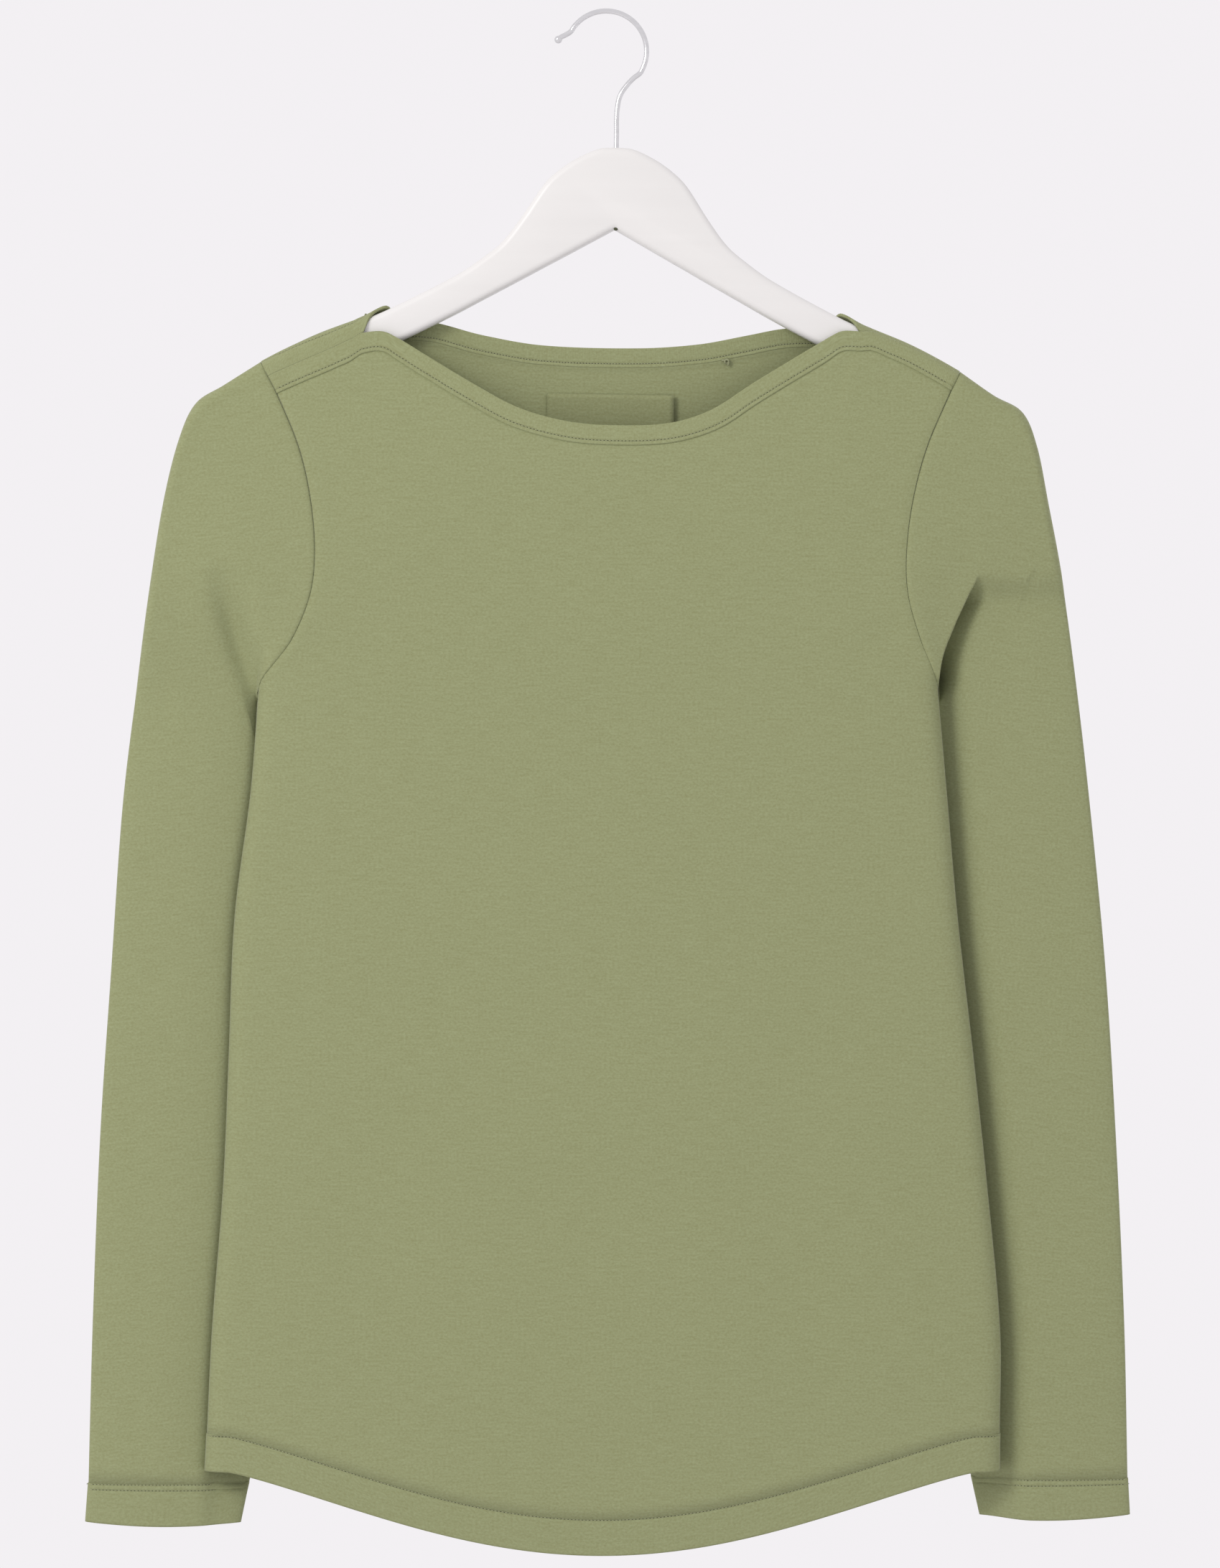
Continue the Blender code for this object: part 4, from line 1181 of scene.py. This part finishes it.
neck_patch = make_patch()

# %% [markdown]
# ## Stitches
# Topstitching holds the binding, the hem, the cuffs and the patch. Each stitch is a tiny
# stretched bead laid along the seam, half a millimetre wide, with a dark dot of painted shade
# after it where the needle went in. All the stitches of a seam are one mesh.


# %% Sew along a line
PROBE = 0.5
THREAD_FLATNESS, THREAD_SINK = 0.4, 0.12
HOLE_DEPTH, HOLE_SINK = 0.12, 0.22


def surface_normal(point_of, a, b):
    """The direction out of a surface given by two numbers."""
    here = point_of(a, b)
    return (point_of(a + PROBE, b) - here).cross(point_of(a, b + PROBE) - here).normalized()


def add_bead(bm, turn, middle, size):
    """A small ball stretched to its size, in millimetres, and turned along the seam."""
    stretch = Matrix.Diagonal((*[value * MM for value in size], 1.0))
    place = Matrix.Translation(middle * MM) @ turn @ stretch
    return bmesh.ops.create_uvsphere(bm, u_segments=6, v_segments=4, radius=1.0, matrix=place)["verts"]


def sew(name, line, pitch=1.9, length=1.3, width=0.5, hole=0.55):
    """Beads of thread along the line of (point, outward) pairs, a stitch at each pitch."""
    bm = bmesh.new()
    travelled, target = 0.0, pitch / 2
    for (start, out), (end, _) in zip(line, line[1:]):
        span = (end - start).length
        while span and target <= travelled + span:
            middle = start.lerp(end, (target - travelled) / span)
            along = (end - start).normalized()
            across = out.cross(along).normalized()
            turn = Matrix((along, across, out)).transposed().to_4x4()
            size = (length / 2, width / 2, width * THREAD_FLATNESS)
            add_bead(bm, turn, middle - out * THREAD_SINK, size)
            # The needle hole is a small dark bead of painted shade, not an opening in the cloth.
            dot = middle + along * pitch / 2 - out * HOLE_SINK
            for corner in add_bead(bm, turn, dot, (hole / 2, hole / 2, HOLE_DEPTH)):
                for face in corner.link_faces:
                    face.material_index = 1
            target += pitch
        travelled += span
    piece = finish_mesh(name, bm, thread, sharp=80)
    piece.data.materials.append(hole_shade)
    print(f"{name}: {round(travelled)} mm of stitching")
    return piece


def body_line(xs, below_of, face, thickness, inside=False):
    """A line on the body's cloth with the direction out of it, on its outer or inner skin."""
    sign = (-1 if face == "front" else 1) * (-1 if inside else 1)
    line = []
    for x in xs:
        below = below_of(x)
        out = surface_normal(lambda a, b: cloth_point(a, b, face), x, below) * sign
        line.append((body_cloth(x, below, face) + out * thickness / 2, out))
    return line


# %% Stitch the neck, hem and patch
NECK_SEWN = (-176.0, 180.0, 260)
HEM_SEWN = (-211.0, 207.0, 220)
CUFF_BULGE = 0.02
CUFF_THREAD_LIFT = 0.35
PATCH_EDGE = ((0.03, 0.06), (0.97, 0.06), (0.97, 0.94), (0.03, 0.94), (0.03, 0.06))
PATCH_THREAD_LIFT = 0.3


def strip_line(face, share, inside=False):
    def below(x):
        return top_below(x, face) + strip_below(x, face) * share

    return body_line(steps(*NECK_SEWN), below, face, DOUBLED, inside)


def hem_line(face, inside=False):
    def below(x):
        return below_at(x, hem_z(x, face) + HEM_DEPTH - HEM_STITCH_INSET)

    return body_line(steps(*HEM_SEWN), below, face, DOUBLED, inside)


def cuff_line(side, share):
    middles = [cuff_point(side, share, 0.5, face) for face in ("front", "back")]
    middle = middles[0].lerp(middles[1], 0.5)
    line = []
    for across, face in ROUND[2:]:
        point = cuff_point(side, share, across, face)
        out = Vector(((point.x - middle.x) * CUFF_BULGE, point.y - middle.y, 0.0)).normalized()
        line.append((point + out * CUFF_THREAD_LIFT + out * DOUBLED / 2, out))
    return line


def patch_line():
    out = Vector((0.0, -1.0, 0.0))
    line = []
    for (a0, d0), (a1, d1) in zip(PATCH_EDGE, PATCH_EDGE[1:]):
        for t in steps(0.0, 1.0, 20)[:-1]:
            line.append((patch_point(mix(a0, a1, t), mix(d0, d1, t)) + out * PATCH_THREAD_LIFT, out))
    return line


seams = [
    sew("stitches_neck_front", strip_line("front", STITCH_SHARE)),
    sew("stitches_neck_back", strip_line("back", STITCH_SHARE)),
    sew("stitches_neck_back_inside", strip_line("back", STITCH_SHARE, inside=True), pitch=1.6),
    sew("stitches_hem_front", hem_line("front")),
    sew("stitches_hem_back", hem_line("back")),
]
for side in OUTWARD:
    for row, share in enumerate(CUFF_STITCHES):
        seams.append(sew(f"stitches_cuff_{side}_{row + 1}", cuff_line(side, share)))
patch_stitches = sew("stitches_patch", patch_line(), pitch=2.0, length=1.5, width=0.35)

# %% A knotted thread end under the back strip
KNOT_PLACE = (64.1, -185.5)
KNOT_LIFT, KNOT_RADIUS, KNOT_BEADS = 1.4, 0.55, 60
KNOT_CURL = (  # right, up, back from the knot's place
    (-2.2, 0.6, 0.0),
    (-0.9, 0.5, -0.4),
    (0.5, 0.9, -0.9),
    (1.2, -0.1, -0.5),
    (0.3, -1.0, -0.2),
    (-0.8, -0.4, -0.8),
    (-0.4, 0.7, -1.2),
    (0.9, 0.6, -1.3),
    (1.3, -0.7, -0.8),
    (0.9, -2.0, -0.4),
)


def make_knot():
    """A short end of thread that curls round itself: small balls set close along the curl."""
    x, z = KNOT_PLACE
    start = cloth_point(x, below_at(x, z), "back") - Vector((0.0, KNOT_LIFT, 0.0))
    path = [start + Vector((a, c, b)) for a, b, c in KNOT_CURL]
    smooth = [smooth_through(range(len(path)), [point[i] for point in path]) for i in range(3)]
    bm = bmesh.new()
    for t in steps(0.0, len(path) - 1.0, KNOT_BEADS):
        spot = Matrix.Translation(Vector([curve(t) for curve in smooth]) * MM)
        bmesh.ops.create_icosphere(bm, subdivisions=1, radius=KNOT_RADIUS * MM, matrix=spot)
    return finish_mesh("thread_knot", bm, thread, sharp=80)


thread_knot = make_knot()

# %% [markdown]
# ## Hanger
# The hanger is one board sawn to shape, with its edges rounded over before painting. Its
# outline is traced as one face, pushed through its thickness, and bevelled.


# %% Painted board
ARM_END, ARM_STEPS = 216.0, 96
HANGER_TIP = (  # out from the stem, up
    (217.6, -139.2),
    (219.2, -140.6),
    (220.2, -143.0),
    (220.4, -146.0),
    (219.6, -148.8),
    (218.0, -150.6),
)
EDGE_ROUNDING, EDGE_SEGMENTS = 3.5, 5


def board_outline():
    rows = sorted(HANGER_ROWS)
    top = smooth_through([row[0] for row in rows], [row[1] for row in rows])
    low = smooth_through([row[0] for row in rows], [row[2] for row in rows])
    outs = steps(0.0, ARM_END, ARM_STEPS)
    upper = [(out, top(out)) for out in outs]
    lower = [(out, low(out)) for out in reversed(outs)]
    right = upper + list(HANGER_TIP) + lower
    left = [(-out, up) for out, up in reversed(right[1:-1])]
    return [hanger_to_world(out, up) for out, up in right + left]


def make_board():
    bm = bmesh.new()
    half = HANGER_THICKNESS / 2
    rim = [bm.verts.new((x * MM, -half * MM, z * MM)) for x, z in board_outline()]
    face = bm.faces.new(rim)
    pushed = bmesh.ops.extrude_face_region(bm, geom=[face])
    moved = [item for item in pushed["geom"] if isinstance(item, bmesh.types.BMVert)]
    bmesh.ops.translate(bm, verts=moved, vec=(0.0, HANGER_THICKNESS * MM, 0.0))
    bmesh.ops.recalc_face_normals(bm, faces=bm.faces)
    rims = [edge for edge in bm.edges if abs(edge.verts[0].co.y - edge.verts[1].co.y) < SAME_PLACE]
    bmesh.ops.bevel(
        bm,
        geom=rims,
        offset=EDGE_ROUNDING * MM,
        segments=EDGE_SEGMENTS,
        profile=0.5,
        affect="EDGES",
        clamp_overlap=True,
        material=-1,
    )
    return finish_mesh("hanger_board", bm, paint, sharp=35)


hanger_board = make_board()
print("board:", len(hanger_board.data.polygons), "faces")

# %% [markdown]
# ## Hook
# The hook is chromed wire bent in one plane: a stem that swings to the right, a round
# crown that hangs on the rail, and a flared tip closed by a small ball. A circle swept
# along that path makes the wire, and a sphere makes the ball.

# %% Bend the wire
WIRE_RADIUS = 1.4
HOOK_RADIUS = 21.6
HOOK_CENTRE = (-0.3, -20.2)
HOOK_STEM = ((5.0, -84.0), (5.2, -66.0), (5.8, -49.5), (7.4, -43.4), (10.6, -38.6), (14.4, -34.5))
HOOK_TURN = (-32.0, 150.0, 36)
HOOK_TIP = ((-22.0, -11.4), (-24.4, -12.6), (-25.9, -13.9))
BALL_RADIUS = 2.1


def hook_path():
    crown = []
    for degrees in steps(*HOOK_TURN):
        angle = math.radians(degrees)
        x = HOOK_CENTRE[0] + HOOK_RADIUS * math.cos(angle)
        crown.append((x, HOOK_CENTRE[1] + HOOK_RADIUS * math.sin(angle)))
    return list(HOOK_STEM) + crown + list(HOOK_TIP)


def make_hook():
    curve = bpy.data.curves.new("hook_line", "CURVE")
    curve.dimensions = "3D"
    curve.bevel_depth = WIRE_RADIUS * MM
    curve.bevel_resolution = 5
    curve.resolution_u = 6
    curve.use_fill_caps = True
    spline = curve.splines.new("BEZIER")
    path = hook_path()
    spline.bezier_points.add(len(path) - 1)
    for knot, (x, z) in zip(spline.bezier_points, path):
        knot.co = (x * MM, 0.0, z * MM)
        knot.handle_left_type = knot.handle_right_type = "AUTO"
    guide = bpy.data.objects.new("hook_guide", curve)
    bpy.context.scene.collection.objects.link(guide)
    bpy.context.view_layer.update()
    swept = guide.evaluated_get(bpy.context.evaluated_depsgraph_get()).to_mesh()
    bm = bmesh.new()
    bm.from_mesh(swept)
    bpy.data.objects.remove(guide, do_unlink=True)
    ball = Matrix.Translation((HOOK_TIP[-1][0] * MM, 0.0, HOOK_TIP[-1][1] * MM))
    bmesh.ops.create_uvsphere(bm, u_segments=20, v_segments=14, radius=BALL_RADIUS * MM, matrix=ball)
    return finish_mesh("hanger_wire_hook", bm, wire_chrome, sharp=50)


wire_hook = make_hook()
print("hook:", len(wire_hook.data.polygons), "faces")


# %% The wire's foot
FOOT_PLACE, FOOT_SHAPE, FOOT_RADIUS = (4.8, -3.9, -115.6), (1.0, 0.5, 0.8, 1.0), 1.1


def make_wire_foot():
    """The wire passes through the board, and its cut foot shows as a dot at the lower edge, coloured
    with painted shade.
    """
    bm = bmesh.new()
    spot = Matrix.Translation(Vector(FOOT_PLACE) * MM) @ Matrix.Diagonal(FOOT_SHAPE)
    bmesh.ops.create_uvsphere(bm, u_segments=12, v_segments=8, radius=FOOT_RADIUS * MM, matrix=spot)
    # The dot takes the near-black material that paints the shade of a hole.
    return finish_mesh("hook_wire_foot", bm, hole_shade, sharp=60)


wire_foot = make_wire_foot()

# %% [markdown]
# ## Body
# Every piece of the shirt and its hanger is one rigid body here. Each piece names the
# solids it stands for, which are then hidden, and each is listed with the name of its finish.

# %% Tie the pieces to the frame
COVERS = (
    (shirt_front, "body_front", "jersey"),
    (shirt_back, "body_back", "jersey"),
    (sleeve_left, "sleeve_left", "jersey"),
    (sleeve_right, "sleeve_right", "jersey"),
    (strip_front, "neck_binding_front", "doubled_jersey"),
    (strip_back, "neck_binding_back", "doubled_jersey"),
    (hem_front, "hem_front", "doubled_jersey"),
    (hem_back, "hem_back", "doubled_jersey"),
    (cuff_left, "cuff_left", "doubled_jersey"),
    (cuff_right, "cuff_right", "doubled_jersey"),
    (neck_patch, "neck_patch", "patch_cloth"),
    (hanger_board, "hanger_wood", "painted_wood"),
    (wire_hook, "hanger_hook", "chrome_wire"),
)
for piece, node, slot in COVERS:
    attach(piece, "root")
    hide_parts(node)
for piece in seams + [patch_stitches, thread_knot]:
    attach(piece, "root")
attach(wire_foot, "root")

print("pieces tied:", len(COVERS) + len(seams) + 1)

# %% [markdown]
# ## Room, light and camera
# The picture is a catalogue shot: a straight view with a long lens, a soft light from the
# upper left and a very pale surrounding that fills the shadows.


# %% Floor and surroundings
FLOOR_RADIUS, FLOOR_Z = 1.8, -1.35


def make_floor():
    bm = bmesh.new()
    place = Matrix.Translation((0, 0, FLOOR_Z))
    bmesh.ops.create_circle(bm, segments=96, radius=FLOOR_RADIUS, cap_ends=True, matrix=place)
    material = plain_material("pale_floor", (0.82, 0.81, 0.82), 0.9)[0]
    return finish_mesh("floor", bm, material)


make_floor()
world = bpy.data.worlds.new("pale_room")
bpy.context.scene.world = world
world.use_nodes = True
background = world.node_tree.nodes["Background"]
background.inputs["Color"].default_value = (0.895, 0.872, 0.895, 1.0)
background.inputs["Strength"].default_value = 1.0
bpy.context.scene.view_settings.view_transform = "Standard"


def soft_light(name, place, aim, size, power, color):
    lamp = bpy.data.lights.new(name, "AREA")
    lamp.shape = "RECTANGLE"
    lamp.size, lamp.size_y = size
    lamp.energy = power
    lamp.color = color
    holder = bpy.data.objects.new(name, lamp)
    holder.location = place
    holder.rotation_euler = (Vector(aim) - Vector(place)).to_track_quat("-Z", "Y").to_euler()
    bpy.context.scene.collection.objects.link(holder)


soft_light("key_softbox", (-1.6, -1.9, 0.7), (0.0, 0.0, -0.45), (0.9, 0.9), 30.0, (1.0, 0.985, 0.96))

# %% Camera
IMAGE_WIDTH, IMAGE_HEIGHT = 1699, 2184
MM_PER_PIXEL = 0.384
CROWN_COLUMN, CROWN_ROW = 845, 19
centre_x = (IMAGE_WIDTH / 2 - CROWN_COLUMN) * MM_PER_PIXEL * MM
centre_z = -(IMAGE_HEIGHT / 2 - CROWN_ROW) * MM_PER_PIXEL * MM
lens_data = bpy.data.cameras.new("catalogue_camera")
camera = bpy.data.objects.new("catalogue_camera", lens_data)
bpy.context.scene.collection.objects.link(camera)
bpy.context.scene.camera = camera
DISTANCE, SENSOR_HEIGHT = 3.0, 24.0
camera.location = (centre_x, -DISTANCE, centre_z)
camera.rotation_euler = (math.radians(90), 0.0, 0.0)
lens_data.sensor_fit = "VERTICAL"
lens_data.sensor_height = SENSOR_HEIGHT
lens_data.lens = SENSOR_HEIGHT * DISTANCE / (IMAGE_HEIGHT * MM_PER_PIXEL * MM)
lens_data.clip_end = 50.0
print("lens", round(lens_data.lens, 1), "mm")
